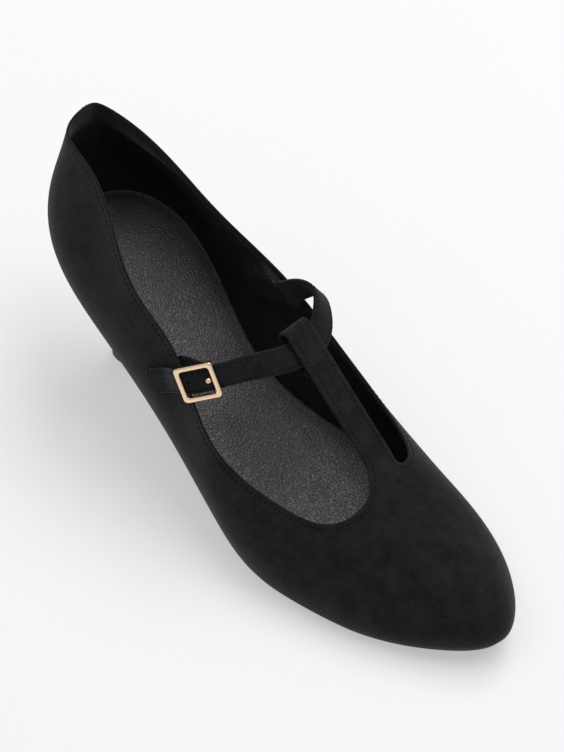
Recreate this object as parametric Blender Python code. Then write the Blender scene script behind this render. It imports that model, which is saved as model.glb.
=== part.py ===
"""A right shoe with a t strap: a lasted upper with its T bar, a cross strap with a buckle, and a slim heel.

Metres. +X runs to the toe, +Y to the medial side, +Z up. The origin is the centre of the heel's floor face.
"""
import bmesh
import bpy
import numpy as np

# Driving sizes
LENGTH = 0.238             # the last's length along the floor that the shares below are taken of
BALL_WIDTH = 0.077
HEEL_SET = 0.0345          # from the back of the last to the middle of the heel's floor face
HEEL_RISE = 0.060          # the seat above the tread
TREAD = 0.0035             # the last's bottom above the floor at the ball
TOE_SPRING = 0.0085
COUNTER = 0.056            # height of the topline at the back, above the last's bottom
WALL = 0.0016
GAP = 0.0003               # between pieces that touch
FEATHER_REACH = 0.012      # outside the feather line, where the ribs' tops slope to

INSOLE_THICKNESS = 0.0022
SOCK_BEVEL = 0.0006
SOLE_TREAD = 0.0035        # thickness of the outsole at the ball
SOLE_EDGE = 0.0022         # thickness of the outsole at the waist
SOLE_INSET = 0.0018        # from the upper's feather line in to the edge of the outsole and of the heel's seat
SOLE_BEVEL = 0.0008

TOP_PIECE_LENGTH = 0.0135
TOP_PIECE_WIDTH = 0.0130
TOP_PIECE_HEIGHT = 0.0055
TOP_PIECE_BEVEL = 0.0004
HEEL_SQUARENESS = 2.6      # 2 is an ellipse
HEEL_BACK_SWEEP = 1.5      # how quickly the heel draws in under the seat, at its back and at its breast
HEEL_BREAST_SWEEP = 3.4

T_WIDTH = 0.0120
T_LENGTH = 0.0645          # from the throat to the fold, along the T bar
T_START_SLOPE = 36         # degrees above the floor at the throat
T_END_SLOPE = 37           # and at the fold
T_SIDE = 0.118             # the T bar's middle at the throat, as a share of the ball width
T_DRIFT = 0.0004           # how far it moves to the medial side by the fold
LOOP_LENGTH = 0.0124       # from the fold to where it closes under the strap
LOOP_CLOSE = 0.0022
TAIL_LENGTH = 0.0042       # from the loop to the end that is stitched under the T bar

STRAP_WIDTH = 0.0100
STRAP_THICKNESS = 0.0016
STRAP_HOLE = 0.0024
STRAP_REST = 0.0006        # between the strap and the quarters it is sewn to
STRAP_STEPS = 60
LOOP_INSET = 0.0020        # from the fold to the strap's edge
BUCKLE_LENGTH = 0.0152     # along the strap
BUCKLE_WIDTH = 0.0148
BUCKLE_BAR = 0.0018
BUCKLE_THICKNESS = 0.0016
PIN_DIAMETER = 0.0015
PIN_TIP = 0.0024
PIN_OFFSET = 0.0042        # from the buckle's middle to its pin, along the strap
HOLE_STEP = 0.0080         # from the pin's hole to the strap's next hole
SPARE_HOLE = 0.0014
BUCKLE_AT = 0.0268         # the buckle's middle, from the strap's lateral end
BUCKLE_CORNER = 0.0017
BUCKLE_INNER_CORNER = 0.0013
BAR_SIZE = 0.0014
BAR_DEPTH = 0.0021         # the hidden bar below the strap's middle
TAB_WIDTH = 0.0100
TAB_THICKNESS = 0.0012

# The last's bottom: share of the length, share of the heel's rise, share of the toe spring
BOTTOM = (
    (0.00, 0.980, 0.00),
    (0.12, 0.920, 0.00),
    (0.24, 0.690, 0.00),
    (0.36, 0.410, 0.00),
    (0.48, 0.150, 0.00),
    (0.58, 0.030, 0.00),
    (0.67, 0.000, 0.00),
    (0.76, 0.000, 0.00),
    (0.88, 0.000, 0.34),
    (1.00, 0.000, 1.00),
)

# The upper, a rib for each row, from the back along the lateral side to the toe and back along the medial
# side. Foot is where the rib leaves the last's bottom and edge is where it ends at the opening, in shares of
# the length and of the ball width. Up is the edge's height above the last's bottom, as a share of COUNTER.
# Leans are degrees from upright, at the foot and at the edge. Reaches are shares of the rib's own chord.
RIBS = (
    # name, foot along, foot side, edge along, edge side, up, low lean, high lean, low reach, high reach
    ("back", 0.013, 0.010, 0.024, 0.010, 1.000, 18, 8, 0.40, 0.40),
    ("lateral heel turn", 0.034, -0.200, 0.040, -0.150, 0.980, 19, 10, 0.40, 0.40),
    ("lateral heel", 0.117, -0.355, 0.125, -0.215, 0.945, 19, 10, 0.40, 0.40),
    ("lateral seat", 0.237, -0.390, 0.243, -0.340, 0.790, 18, 12, 0.40, 0.40),
    ("lateral waist", 0.370, -0.410, 0.358, -0.360, 0.750, 20, 8, 0.40, 0.40),
    ("lateral front", 0.495, -0.470, 0.475, -0.450, 0.640, 21, 12, 0.40, 0.40),
    ("lateral ball", 0.608, -0.525, 0.587, -0.405, 0.590, 19, 40, 0.40, 0.40),
    ("lateral throat", 0.697, -0.490, 0.665, -0.320, 0.560, 16, 55, 0.35, 0.40),
    ("lateral corner", 0.797, -0.400, 0.699, -0.205, 0.590, 14, 62, 0.30, 0.45),
    ("lateral toe", 0.906, -0.218, 0.702, -0.120, 0.620, 12, 64, 0.25, 0.45),
    ("tip", 0.974, 0.045, 0.698, 0.030, 0.660, 10, 65, 0.26, 0.45),
    ("medial toe", 0.928, 0.268, 0.694, 0.130, 0.665, 12, 64, 0.25, 0.45),
    ("medial corner", 0.826, 0.428, 0.690, 0.235, 0.650, 16, 62, 0.28, 0.45),
    ("medial throat", 0.717, 0.458, 0.668, 0.325, 0.620, 15, 53, 0.34, 0.40),
    ("medial ball", 0.625, 0.462, 0.605, 0.390, 0.640, 17, 34, 0.38, 0.40),
    ("medial front", 0.500, 0.365, 0.488, 0.400, 0.750, 18, 16, 0.40, 0.40),
    ("medial waist", 0.370, 0.260, 0.368, 0.365, 0.790, 15, 5, 0.40, 0.40),
    ("medial seat", 0.240, 0.340, 0.247, 0.270, 0.800, 18, 8, 0.40, 0.40),
    ("medial heel", 0.115, 0.360, 0.134, 0.195, 0.875, 18, 10, 0.40, 0.40),
    ("medial heel turn", 0.033, 0.220, 0.038, 0.115, 0.950, 18, 8, 0.40, 0.40),
)
ROWS = [row[0] for row in RIBS]
THROAT_LATERAL = ROWS.index("lateral toe")
THROAT_MEDIAL = ROWS.index("medial corner")
BREAST = ROWS.index("lateral seat")
TOE = ROWS.index("tip")

# The cross strap's free stretches: share of the length, of the ball width, of the instep's height, and the
# way that its face looks, in degrees from upright (lateral is negative) and towards the toe
STRAP_BUCKLE_SIDE = (
    ("lateral bar", 0.402, -0.412, 0.845, -80, 15),
    ("buckle", 0.423, -0.361, 0.886, -70, 27),
    ("medial bar", 0.443, -0.302, 0.923, -62, 34),
    ("rise", 0.463, -0.184, 0.935, -38, 41),
)
STRAP_ANCHOR_SIDE = (
    ("shoulder", 0.462, 0.328, 0.952, 34, 30),
    ("arch", 0.433, 0.374, 0.978, 58, 12),
    ("leave", 0.403, 0.340, 0.935, 80, -4),
)
# Where the strap lies on the upper: rib, counted in rows of RIBS, and height, as a share of the rib
STRAP_ON_QUARTER = ((3.76, 0.50), (3.88, 0.61), (4.02, 0.74))
STRAP_IN_QUARTER = ((15.98, 0.90), (16.20, 0.78), (16.40, 0.66))
TAB_IN_QUARTER = ((4.10, 0.70), (4.12, 0.81), (4.14, 0.92))

BLACK_SUEDE = (0.012, 0.011, 0.012)
SOCK_GREY = (0.035, 0.033, 0.036)
SOLE_BLACK = (0.010, 0.010, 0.010)
GOLD = (0.85, 0.62, 0.42)

COLUMNS_PER_ROW = 5
UP = np.array([0.0, 0.0, 1.0])


# Smooth tables

def spline(knots, rows, at, closed=False):
    """Reads a smooth curve through the rows at the given values."""
    knots = np.asarray(knots, float)
    rows = np.asarray(rows, float)
    at = np.asarray(at, float)
    n = len(knots)
    h = np.diff(knots)
    slope = np.diff(rows, axis=0) / h[:, None]
    a = np.zeros((n, n))
    b = np.zeros((n, rows.shape[1]))
    for i in range(1, n - 1):
        a[i, i - 1:i + 2] = h[i - 1], 2 * (h[i - 1] + h[i]), h[i]
        b[i] = 6 * (slope[i] - slope[i - 1])
    if closed:
        a[0, 0], a[0, -1] = 1, -1
        a[-1, 0], a[-1, 1], a[-1, -2], a[-1, -1] = 2 * h[0], h[0], h[-1], 2 * h[-1]
        b[-1] = 6 * (slope[0] - slope[-1])
    else:
        a[0, 0] = a[-1, -1] = 1
    m = np.linalg.solve(a, b)
    i = np.clip(np.searchsorted(knots, at, side="right") - 1, 0, n - 2)
    after = (at - knots[i])[:, None]
    before = (knots[i + 1] - at)[:, None]
    step = h[i][:, None]
    curve = (m[i] * before ** 3 + m[i + 1] * after ** 3) / (6 * step)
    low, high = rows[i] / step - m[i] * step / 6, rows[i + 1] / step - m[i + 1] * step / 6
    return curve + low * before + high * after


def unit(v):
    return v / np.linalg.norm(v, axis=-1, keepdims=True)


def smooth_step(x):
    x = np.clip(x, 0, 1)
    return x * x * (3 - 2 * x)


# The last

def along_to_x(share):
    return share * LENGTH - HEEL_SET


def bottom_height(x):
    """Height of the last's bottom above the floor."""
    table = np.array(BOTTOM)
    share = np.clip((np.asarray(x, float) + HEEL_SET) / LENGTH, 0, 1)
    rise, spring = spline(table[:, 0], table[:, 1:], share.ravel()).T
    return (rise * HEEL_RISE + TREAD + spring * TOE_SPRING).reshape(share.shape)


def rib_knots():
    foot = np.array([row[1:3] for row in RIBS + RIBS[:1]]) * [LENGTH, BALL_WIDTH]
    steps = np.hypot(*np.diff(foot, axis=0).T)
    return np.concatenate([[0], np.cumsum(steps)])


def feather(rows):
    """The line where the upper meets the last's bottom, and its outward direction, at rows of RIBS."""
    values = rib_values(rows)
    x = along_to_x(values[:, 0])
    line = np.stack([x, values[:, 1] * BALL_WIDTH, bottom_height(x)], 1)
    near = 0.02
    ahead = rib_values(np.asarray(rows) + near)[:, :2] * [LENGTH, BALL_WIDTH]
    behind = rib_values(np.asarray(rows) - near)[:, :2] * [LENGTH, BALL_WIDTH]
    along = ahead - behind
    return line, unit(np.stack([along[:, 1], -along[:, 0], 0 * x], 1))


def rib_values(rows):
    rows = np.mod(np.asarray(rows, float), len(RIBS))
    knots = rib_knots()
    table = np.array([row[1:] for row in RIBS + RIBS[:1]], float)
    at = np.interp(rows, np.arange(len(RIBS) + 1), knots)
    return spline(knots, table, at, closed=True)


def ribs(rows):
    """The four control points of each rib, from the feather line up to the opening's edge."""
    values = rib_values(rows)
    foot, out = feather(rows)
    x = along_to_x(values[:, 2])
    edge = np.stack([x, values[:, 3] * BALL_WIDTH, bottom_height(x) + values[:, 4] * COUNTER], 1)
    low, high = np.radians(values[:, 5:6]), np.radians(values[:, 6:7])
    chord = np.linalg.norm(edge - foot, axis=1, keepdims=True)
    level = foot - edge + out * FEATHER_REACH
    level[:, 2] = 0
    level = unit(level)
    rise = foot + chord * values[:, 7:8] * (np.sin(low) * out + np.cos(low) * UP)
    fall = edge + chord * values[:, 8:9] * (np.sin(high) * level - np.cos(high) * UP)
    return foot, rise, fall, edge


def wall(rows, heights):
    """Points of the upper's outer face: heights run from 0 at the feather line to 1 at the edge."""
    foot, rise, fall, edge = ribs(np.asarray(rows, float))
    w = np.asarray(heights, float)[..., None]
    v = 1 - w
    return v ** 3 * foot + 3 * v * v * w * rise + 3 * v * w * w * fall + w ** 3 * edge


def wall_normal(rows, heights):
    rows, heights = np.asarray(rows, float), np.asarray(heights, float)
    near = 0.01
    round_way = wall(rows + near, heights) - wall(rows - near, heights)
    up_way = wall(rows, np.minimum(heights + near, 1)) - wall(rows, np.maximum(heights - near, 0))
    return unit(np.cross(round_way, up_way))


# The T bar

def t_bar_path(s):
    """Middle of the T bar's outer face, its direction and its outward direction, at distance s from the throat."""
    s = np.asarray(s, float)
    base = wall([THROAT_LATERAL, THROAT_MEDIAL], [1, 1])
    side = T_SIDE * BALL_WIDTH
    share = (side - base[0, 1]) / (base[1, 1] - base[0, 1])
    start = base[0] + (base[1] - base[0]) * share
    steps = 200
    slopes = np.radians(np.linspace(T_START_SLOPE, T_END_SLOPE, steps))
    run = np.arange(steps + 1) * T_LENGTH / steps
    back = np.concatenate([[0], np.cumsum(np.cos(slopes))]) * T_LENGTH / steps
    up = np.concatenate([[0], np.cumsum(np.sin(slopes))]) * T_LENGTH / steps
    slope = np.radians(T_START_SLOPE + (T_END_SLOPE - T_START_SLOPE) * s / T_LENGTH)
    drift = T_DRIFT * s / T_LENGTH
    point = start + np.stack([-np.interp(s, run, back), drift, np.interp(s, run, up)], -1)
    way = np.stack([-np.cos(slope), 0 * s, np.sin(slope)], -1)
    return point, way, np.stack([np.sin(slope), 0 * s, np.cos(slope)], -1)


def fillet(s, radius):
    """How much wider than its straight stretch the T bar is, at distance s from the throat."""
    return radius - np.sqrt(np.maximum(radius ** 2 - np.maximum(radius - s, 0) ** 2, 0))


LOOP_DEPTH = 2 * WALL + STRAP_THICKNESS + 4 * GAP


def t_bar(columns, fillet_rows=7, straight_rows=9, fold_rows=8):
    """The outer and inner faces of the T bar and its fold, as two grids that start on the wall's own edge."""
    edge = wall(columns, np.ones(len(columns)))
    side = T_SIDE * BALL_WIDTH
    half = T_WIDTH / 2
    lateral = side - half - edge[0, 1]
    medial = edge[-1, 1] - side - half
    across = (edge[:, 1] - edge[0, 1]) / (edge[-1, 1] - edge[0, 1])
    turn = np.linspace(0, np.pi / 2, fillet_rows)
    top = np.concatenate([lateral * (1 - np.cos(turn)), np.linspace(lateral, T_LENGTH, straight_rows)[1:]])

    def spread(s):
        middle = side + T_DRIFT * s / T_LENGTH
        low = middle - half - fillet(s, lateral)
        high = middle + half + fillet(s, medial)
        return low + (high - low) * across

    start = t_bar_path(0)[0]
    leftover = edge - np.stack([0 * across + start[0], spread(0), 0 * across + start[2]], 1)
    first_normal = wall_normal(columns, np.ones(len(columns)))
    outer, inner = [], []
    for s in top:
        point, _, normal = t_bar_path(s)
        fade = 1 - smooth_step(s / lateral)
        row = np.stack([0 * across + point[0], spread(s), 0 * across + point[2]], 1) + leftover * fade
        face = unit(first_normal * fade + normal * (1 - fade))
        outer.append(row)
        inner.append(row - WALL * face)
    point, way, normal = t_bar_path(T_LENGTH)
    flat = np.stack([0 * across, spread(T_LENGTH), 0 * across], 1)
    centre = point - normal * LOOP_DEPTH / 2
    centre[1] = 0
    for turn in np.linspace(0, np.pi, fold_rows)[1:]:
        arm = np.cos(turn) * normal + np.sin(turn) * way
        outer.append(flat + centre + arm * LOOP_DEPTH / 2)
        inner.append(flat + centre + arm * (LOOP_DEPTH / 2 - WALL))
    tail = np.linspace(0, LOOP_LENGTH, 4)[1:]
    for back in (*tail, LOOP_LENGTH + LOOP_CLOSE / 2, LOOP_LENGTH + LOOP_CLOSE, LOOP_LENGTH + TAIL_LENGTH):
        point, _, normal = t_bar_path(T_LENGTH - back)
        closing = smooth_step((back - LOOP_LENGTH) / LOOP_CLOSE)
        depth = LOOP_DEPTH - closing * (LOOP_DEPTH - 2 * WALL - GAP)
        middle = point - normal * depth
        middle[1] = 0
        outer.append(flat + middle)
        inner.append(flat + middle + normal * WALL)
    return np.array(outer), np.array(inner)


# Making meshes

def material(name, colour, roughness, metallic=0.0):
    made = bpy.data.materials.new(name)
    made.use_nodes = True
    shader = made.node_tree.nodes["Principled BSDF"]
    shader.inputs["Base Color"].default_value = (*colour, 1)
    shader.inputs["Roughness"].default_value = roughness
    shader.inputs["Metallic"].default_value = metallic
    return made


def add_object(name, points, faces, finish, merge=0.0):
    mesh = bpy.data.meshes.new(name)
    mesh.from_pydata([tuple(map(float, p)) for p in points], [], faces)
    build = bmesh.new()
    build.from_mesh(mesh)
    if merge:
        bmesh.ops.remove_doubles(build, verts=build.verts, dist=merge)
    bmesh.ops.recalc_face_normals(build, faces=build.faces)
    build.to_mesh(mesh)
    build.free()
    mesh.shade_smooth()
    mesh.set_sharp_from_angle(angle=np.radians(35))
    made = bpy.data.objects.new(name, mesh)
    made.data.materials.append(finish)
    bpy.context.scene.collection.objects.link(made)
    return made


def grid_faces(rows, columns, start=0, closed=False):
    """Quads of a grid of points stored row by row."""
    count = columns if closed else columns - 1
    faces = []
    for i in range(rows - 1):
        for j in range(count):
            k = (j + 1) % columns
            low, high = start + i * columns, start + (i + 1) * columns
            faces.append((low + j, low + k, high + k, high + j))
    return faces


def loft(name, sections, finish, merge=0.0):
    """A closed solid through sections that all have the same number of points."""
    rows, columns = len(sections), len(sections[0])
    faces = grid_faces(rows, columns, closed=True)
    faces.append(tuple(range(columns))[::-1])
    faces.append(tuple((rows - 1) * columns + j for j in range(columns)))
    return add_object(name, np.concatenate(sections), faces, finish, merge)


def cross_row(lateral, medial, height, cross):
    """Points from the lateral to the medial end, each at the height for its own x."""
    share = np.linspace(0, 1, cross + 1)[:, None]
    row = lateral * (1 - share) + medial * share
    row[:, 2] = height(row[:, 0])
    return row


def plate(name, levels, finish, first_row=0, cross=6):
    """A slab inside the feather line, from first_row to the toe. Levels, from the top down, are pairs: how far
    outside the feather line the slab's edge is there, and a function that gives the height there at each x."""
    lateral = np.arange(first_row * COLUMNS_PER_ROW, TOE * COLUMNS_PER_ROW + 1) / COLUMNS_PER_ROW
    sides = []
    for rows in (lateral, len(RIBS) - lateral):
        line, out = feather(rows)
        rings = []
        for offset, height in levels:
            ring = line + out * offset
            ring[:, 2] = height(ring[:, 0])
            rings.append(ring)
        sides.append(rings)
    sections = []
    for i in range(len(lateral)):
        left, right = [ring[i] for ring in sides[0]], [ring[i] for ring in sides[1]]
        top = cross_row(left[0], right[0], levels[0][1], cross)
        under = cross_row(right[-1], left[-1], levels[-1][1], cross)
        sections.append(np.array([*top, *right[1:-1], *under, *left[-2:0:-1]]))
    return loft(name, sections, finish, merge=0.00001)


# Sub-parts

def make_upper(finish):
    """Quarters, vamp, T bar and its fold as one hollow wall, open at the collar and underneath."""
    columns = len(RIBS) * COLUMNS_PER_ROW
    rows = np.arange(columns) / COLUMNS_PER_ROW
    heights = np.linspace(0, 1, 9)
    outer = np.array([wall(rows, np.full(columns, h)) for h in heights])
    inner = outer - WALL * np.array([wall_normal(rows, np.full(columns, h)) for h in heights])
    inner[0, :, 2] = outer[0, :, 2]
    neck = np.arange(THROAT_LATERAL * COLUMNS_PER_ROW, THROAT_MEDIAL * COLUMNS_PER_ROW + 1)
    bar_outer, bar_inner = t_bar(rows[neck])
    bar_outer, bar_inner = bar_outer[1:], bar_inner[1:]
    high, wide = len(heights), len(neck)
    inside = high * columns
    bar = 2 * inside
    bar_inside = bar + len(bar_outer) * wide
    points = np.concatenate([g.reshape(-1, 3) for g in (outer, inner, bar_outer, bar_inner)])
    faces = grid_faces(high, columns, 0, True) + grid_faces(high, columns, inside, True)
    faces += grid_faces(len(bar_outer), wide, bar) + grid_faces(len(bar_outer), wide, bar_inside)
    top = (high - 1) * columns
    for j in range(columns):
        k = (j + 1) % columns
        faces.append((j, k, inside + k, inside + j))
        if not neck[0] <= j < neck[-1]:
            faces.append((top + j, top + k, inside + top + k, inside + top + j))
    for a in range(wide - 1):
        j = top + neck[a]
        faces.append((j, j + 1, bar + a + 1, bar + a))
        faces.append((inside + j, inside + j + 1, bar_inside + a + 1, bar_inside + a))
    end = (len(bar_outer) - 1) * wide
    for a in range(wide - 1):
        faces.append((bar + end + a, bar + end + a + 1, bar_inside + end + a + 1, bar_inside + end + a))
    for a, first in ((0, top + neck[0]), (wide - 1, top + neck[-1])):
        faces.append((first, bar + a, bar_inside + a, inside + first))
        for i in range(len(bar_outer) - 1):
            one, two = i * wide + a, (i + 1) * wide + a
            faces.append((bar + one, bar + two, bar_inside + two, bar_inside + one))
    return add_object("upper", points, faces, finish)


def insole_top(x):
    return bottom_height(x) + INSOLE_THICKNESS


def make_insole(finish):
    """The sock on its board, inside the upper's wall and level with its lower edge."""
    fit = -(WALL + 2 * GAP)
    levels = (
        (fit - SOCK_BEVEL, insole_top),
        (fit, lambda x: insole_top(x) - SOCK_BEVEL),
        (fit, bottom_height),
    )
    return plate("insole", levels, finish)


def sole_top(x):
    return bottom_height(x) - GAP


def sole_under(x):
    """The outsole's lower face: flat on the floor under the ball."""
    thick = SOLE_EDGE + (SOLE_TREAD - SOLE_EDGE) * smooth_step((x - along_to_x(0.36)) / (0.22 * LENGTH))
    return np.maximum(bottom_height(x) - GAP - thick, 0)


def make_outsole(finish):
    levels = (
        (-SOLE_INSET, sole_top),
        (-SOLE_INSET, lambda x: sole_under(x) + SOLE_BEVEL),
        (-SOLE_INSET - SOLE_BEVEL, sole_under),
    )
    return plate("outsole", levels, finish, BREAST)


def heel_foot(angle):
    """Outline of the heel's floor face, a square with its corners well rounded."""
    c, s = np.cos(angle), np.sin(angle)
    power = 2 / HEEL_SQUARENESS
    x = np.sign(c) * np.abs(c) ** power * TOP_PIECE_LENGTH / 2
    y = np.sign(s) * np.abs(s) ** power * TOP_PIECE_WIDTH / 2
    return x, y


def make_heel(finish, cross=6, steps=9):
    """Slim heel: its top follows the seat, and its back and breast sweep in to the floor face."""
    columns = COLUMNS_PER_ROW
    lateral = np.arange(BREAST * columns + 1) / columns
    sides = [line - out * SOLE_INSET for line, out in map(feather, (lateral, len(RIBS) - lateral))]
    left, right = ([*side] for side in sides)
    for side in (left, right):
        side[-1] = side[-1] - [2 * GAP, 0, 0]
        side[0] = (left[0] + right[0]) / 2
    breast = list(cross_row(left[-1], right[-1], sole_top, cross))
    ring = np.array(left[:-1] + breast + right[-2:0:-1])
    ring[:, 2] = sole_top(ring[:, 0])
    middle = (ring[:, :2].min(0) + ring[:, :2].max(0)) / 2
    half = (ring[:, :2].max(0) - ring[:, :2].min(0)) / 2
    angle = np.arctan2((ring[:, 1] - middle[1]) / half[1], (ring[:, 0] - middle[0]) / half[0])
    foot = np.stack([*heel_foot(angle), 0 * angle], 1)
    front = (1 + np.cos(angle)) / 2
    sweep = HEEL_BACK_SWEEP + (HEEL_BREAST_SWEEP - HEEL_BACK_SWEEP) * front ** 2
    under = TOP_PIECE_HEIGHT + GAP
    rings = [ring]
    for share in np.linspace(0, 1, steps):
        keep = ((1 - share) ** sweep)[:, None]
        plan = foot * (1 - keep) + ring * keep
        plan[:, 2] = (ring[:, 2] - SOLE_EDGE) * (1 - share) + under * share
        rings.append(plan)
    count = len(ring)
    points = list(np.concatenate(rings))
    faces = grid_faces(len(rings), count, closed=True)
    faces.append(tuple((len(rings) - 1) * count + j for j in range(count)))
    last = BREAST * columns
    strips = []
    for i in range(1, last):
        inside = cross_row(ring[i], ring[count - i], sole_top, cross)[1:-1]
        strips.append([i, *range(len(points), len(points) + cross - 1), count - i])
        points.extend(inside)
    strips.append(list(range(last, last + cross + 1)))
    for one, two in zip(strips, strips[1:]):
        faces += [(one[a], two[a], two[a + 1], one[a + 1]) for a in range(cross)]
    faces += [(0, strips[0][a], strips[0][a + 1]) for a in range(cross)]
    return add_object("heel", points, faces, finish)


def make_top_piece(finish):
    """The floor plate under the heel, a flat face on the floor."""
    angle = np.linspace(0, 2 * np.pi, 36, endpoint=False)
    x, y = heel_foot(angle)
    outline = np.stack([x, y], 1)
    sections = []
    for inset, height in ((TOP_PIECE_BEVEL, 0), (0, TOP_PIECE_BEVEL), (0, TOP_PIECE_HEIGHT)):
        ring = outline * (1 - 2 * inset / np.array([TOP_PIECE_LENGTH, TOP_PIECE_WIDTH]))
        sections.append(np.column_stack([ring, np.full(len(ring), height)]))
    return loft("top_piece", sections, finish)


# The cross strap

def facing(lean, turn):
    lean, turn = np.radians(lean), np.radians(turn)
    return np.array([np.sin(turn), np.sin(lean) * np.cos(turn), np.cos(lean) * np.cos(turn)])


def strap_guides():
    """Points on the middle of the strap and the way its outer face looks there, from the lateral end on."""
    half = STRAP_THICKNESS / 2
    guides = []
    for row, height in STRAP_ON_QUARTER:
        face = wall_normal([row], [height])[0]
        guides.append((wall([row], [height])[0] + face * (STRAP_REST + half), face))
    top = t_bar_path(T_LENGTH)[0][2]
    scale = np.array([LENGTH, BALL_WIDTH, top])

    def free(table):
        for _, along, side, up, lean, turn in table:
            point = np.array([along, side, up]) * scale - [HEEL_SET, 0, 0]
            guides.append((point, facing(lean, turn)))

    free(STRAP_BUCKLE_SIDE)
    point, _, face = t_bar_path(T_LENGTH - LOOP_INSET - STRAP_WIDTH / 2)
    for side in (-0.42, 0.42):
        middle = point - face * (WALL + 2 * GAP + half) + [0, side * T_WIDTH, 0]
        guides.append((middle, face))
    free(STRAP_ANCHOR_SIDE)
    for row, height in STRAP_IN_QUARTER:
        face = wall_normal([row], [height])[0]
        guides.append((wall([row], [height])[0] - face * (WALL + STRAP_REST + half), face))
    return guides


def band(guides):
    """Distances along a band's middle line, with its points, cross directions and outward directions."""
    points = np.array([g[0] for g in guides])
    faces = np.array([g[1] for g in guides])
    knots = np.concatenate([[0], np.cumsum(np.linalg.norm(np.diff(points, axis=0), axis=1))])
    fine = np.linspace(0, knots[-1], 400)
    line = spline(knots, np.column_stack([points, faces]), fine)
    middle = line[:, :3]
    distance = np.concatenate([[0], np.cumsum(np.linalg.norm(np.diff(middle, axis=0), axis=1))])
    way = unit(np.gradient(middle, distance, axis=0))
    side = unit(np.cross(way, unit(line[:, 3:])))
    return distance, middle, side, np.cross(side, way)


def on_strap(curve, places):
    """Turns places on the strap (along it, across it to the toe, out from its middle) into points."""
    distance, middle, side, face = curve
    places = np.asarray(places, float)

    def read(values):
        return np.stack([np.interp(places[:, 0], distance, values[:, k]) for k in range(3)], 1)

    return read(middle) + read(side) * places[:, 1:2] + read(face) * places[:, 2:3]


def strip_section(along, width, low, high):
    half = width / 2
    return [(along, -half, low), (along, half, low), (along, half, high), (along, -half, high)]


def make_cross_strap(curve, finish):
    """One strap from the lateral quarter, through the T bar's fold, to the inside of the medial quarter."""
    half = STRAP_THICKNESS / 2
    steps = np.linspace(0, curve[0][-1], STRAP_STEPS)
    sections = [on_strap(curve, strip_section(s, STRAP_WIDTH, -half, half)) for s in steps]
    strap = loft("cross_strap", sections, finish)
    first = BUCKLE_AT + PIN_OFFSET
    for name, hole, size in (("pin", first, STRAP_HOLE), ("spare", first - HOLE_STEP, SPARE_HOLE)):
        around = np.linspace(0, 2 * np.pi, 14, endpoint=False)
        circle = np.column_stack([hole + np.cos(around) * size / 2, np.sin(around) * size / 2])
        rings = [on_strap(curve, np.column_stack([circle, np.full(14, h)])) for h in (-3 * half, 3 * half)]
        cut(strap, loft(f"{name}_hole_cutter", rings, finish))
    return strap


def cut(target, cutter, operation="DIFFERENCE"):
    cutter.hide_render = True
    cutter.display_type = "WIRE"
    boolean = target.modifiers.new("boolean", "BOOLEAN")
    boolean.operation = operation
    boolean.solver = "EXACT"
    boolean.object = cutter


def rounded_rectangle(length, width, radius, corner=4, side=4):
    """Points round a rectangle, with arcs at its corners and spare points along its sides."""
    points = []
    a, b = length / 2 - radius, width / 2 - radius
    for k, (x, y) in enumerate(((a, b), (-a, b), (-a, -b), (a, -b))):
        for turn in np.radians(np.linspace(90 * k, 90 * k + 90, corner + 1)):
            points.append((x + radius * np.cos(turn), y + radius * np.sin(turn)))
        ahead = ((-a, b), (-a, -b), (a, -b), (a, b))[k]
        start = points[-1]
        turn = np.radians(90 * k + 90)
        end = (ahead[0] + radius * np.cos(turn), ahead[1] + radius * np.sin(turn))
        for share in np.arange(1, side) / side:
            points.append((start[0] + (end[0] - start[0]) * share, start[1] + (end[1] - start[1]) * share))
    return np.array(points)


def on_buckle(curve, places):
    """Turns places in the buckle's flat plane (along the strap, across it to the toe, out) into points."""
    near = BUCKLE_LENGTH / 4
    centre, beside, ahead, behind = on_strap(
        curve, [(BUCKLE_AT, 0, 0), (BUCKLE_AT, near, 0), (BUCKLE_AT + near, 0, 0), (BUCKLE_AT - near, 0, 0)])
    way, side = unit(ahead - behind), unit(beside - centre)
    return centre + np.asarray(places, float) @ np.array([way, side, np.cross(side, way)])


def make_buckle_frame(curve, finish):
    """A flat frame over the strap, with a hidden bar under the strap on two short posts."""
    low = STRAP_THICKNESS / 2 + GAP
    high = low + BUCKLE_THICKNESS
    outer = rounded_rectangle(BUCKLE_LENGTH, BUCKLE_WIDTH, BUCKLE_CORNER)
    inner = rounded_rectangle(BUCKLE_LENGTH - 2 * BUCKLE_BAR, BUCKLE_WIDTH - 2 * BUCKLE_BAR, BUCKLE_INNER_CORNER)
    rings = []
    for outline, height in ((outer, low), (outer, high), (inner, high), (inner, low)):
        rings.append(on_buckle(curve, np.column_stack([outline, np.full(len(outline), height)])))
    count = len(outer)
    faces = grid_faces(4, count, closed=True)
    faces += [(3 * count + j, 3 * count + (j + 1) % count, (j + 1) % count, j) for j in range(count)]
    frame = add_object("buckle_frame", np.concatenate(rings), faces, finish)
    wide, post = BUCKLE_WIDTH / 2, BUCKLE_WIDTH / 2 - BUCKLE_BAR + GAP
    top, bar_low, bar_high = low + BUCKLE_THICKNESS / 2, -BAR_DEPTH - BAR_SIZE / 2, -BAR_DEPTH + BAR_SIZE / 2
    outline = ((-wide + GAP, top), (-wide + GAP, bar_low), (wide - GAP, bar_low), (wide - GAP, top),
               (post, top), (post, bar_high), (-post, bar_high), (-post, top))
    sections = []
    for along in (-BAR_SIZE / 2, BAR_SIZE / 2):
        sections.append(on_buckle(curve, [(PIN_OFFSET + along, v, h) for v, h in outline]))
    bar = loft("buckle_bar_tool", sections, finish)
    cut(frame, bar, "UNION")
    return frame


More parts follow.
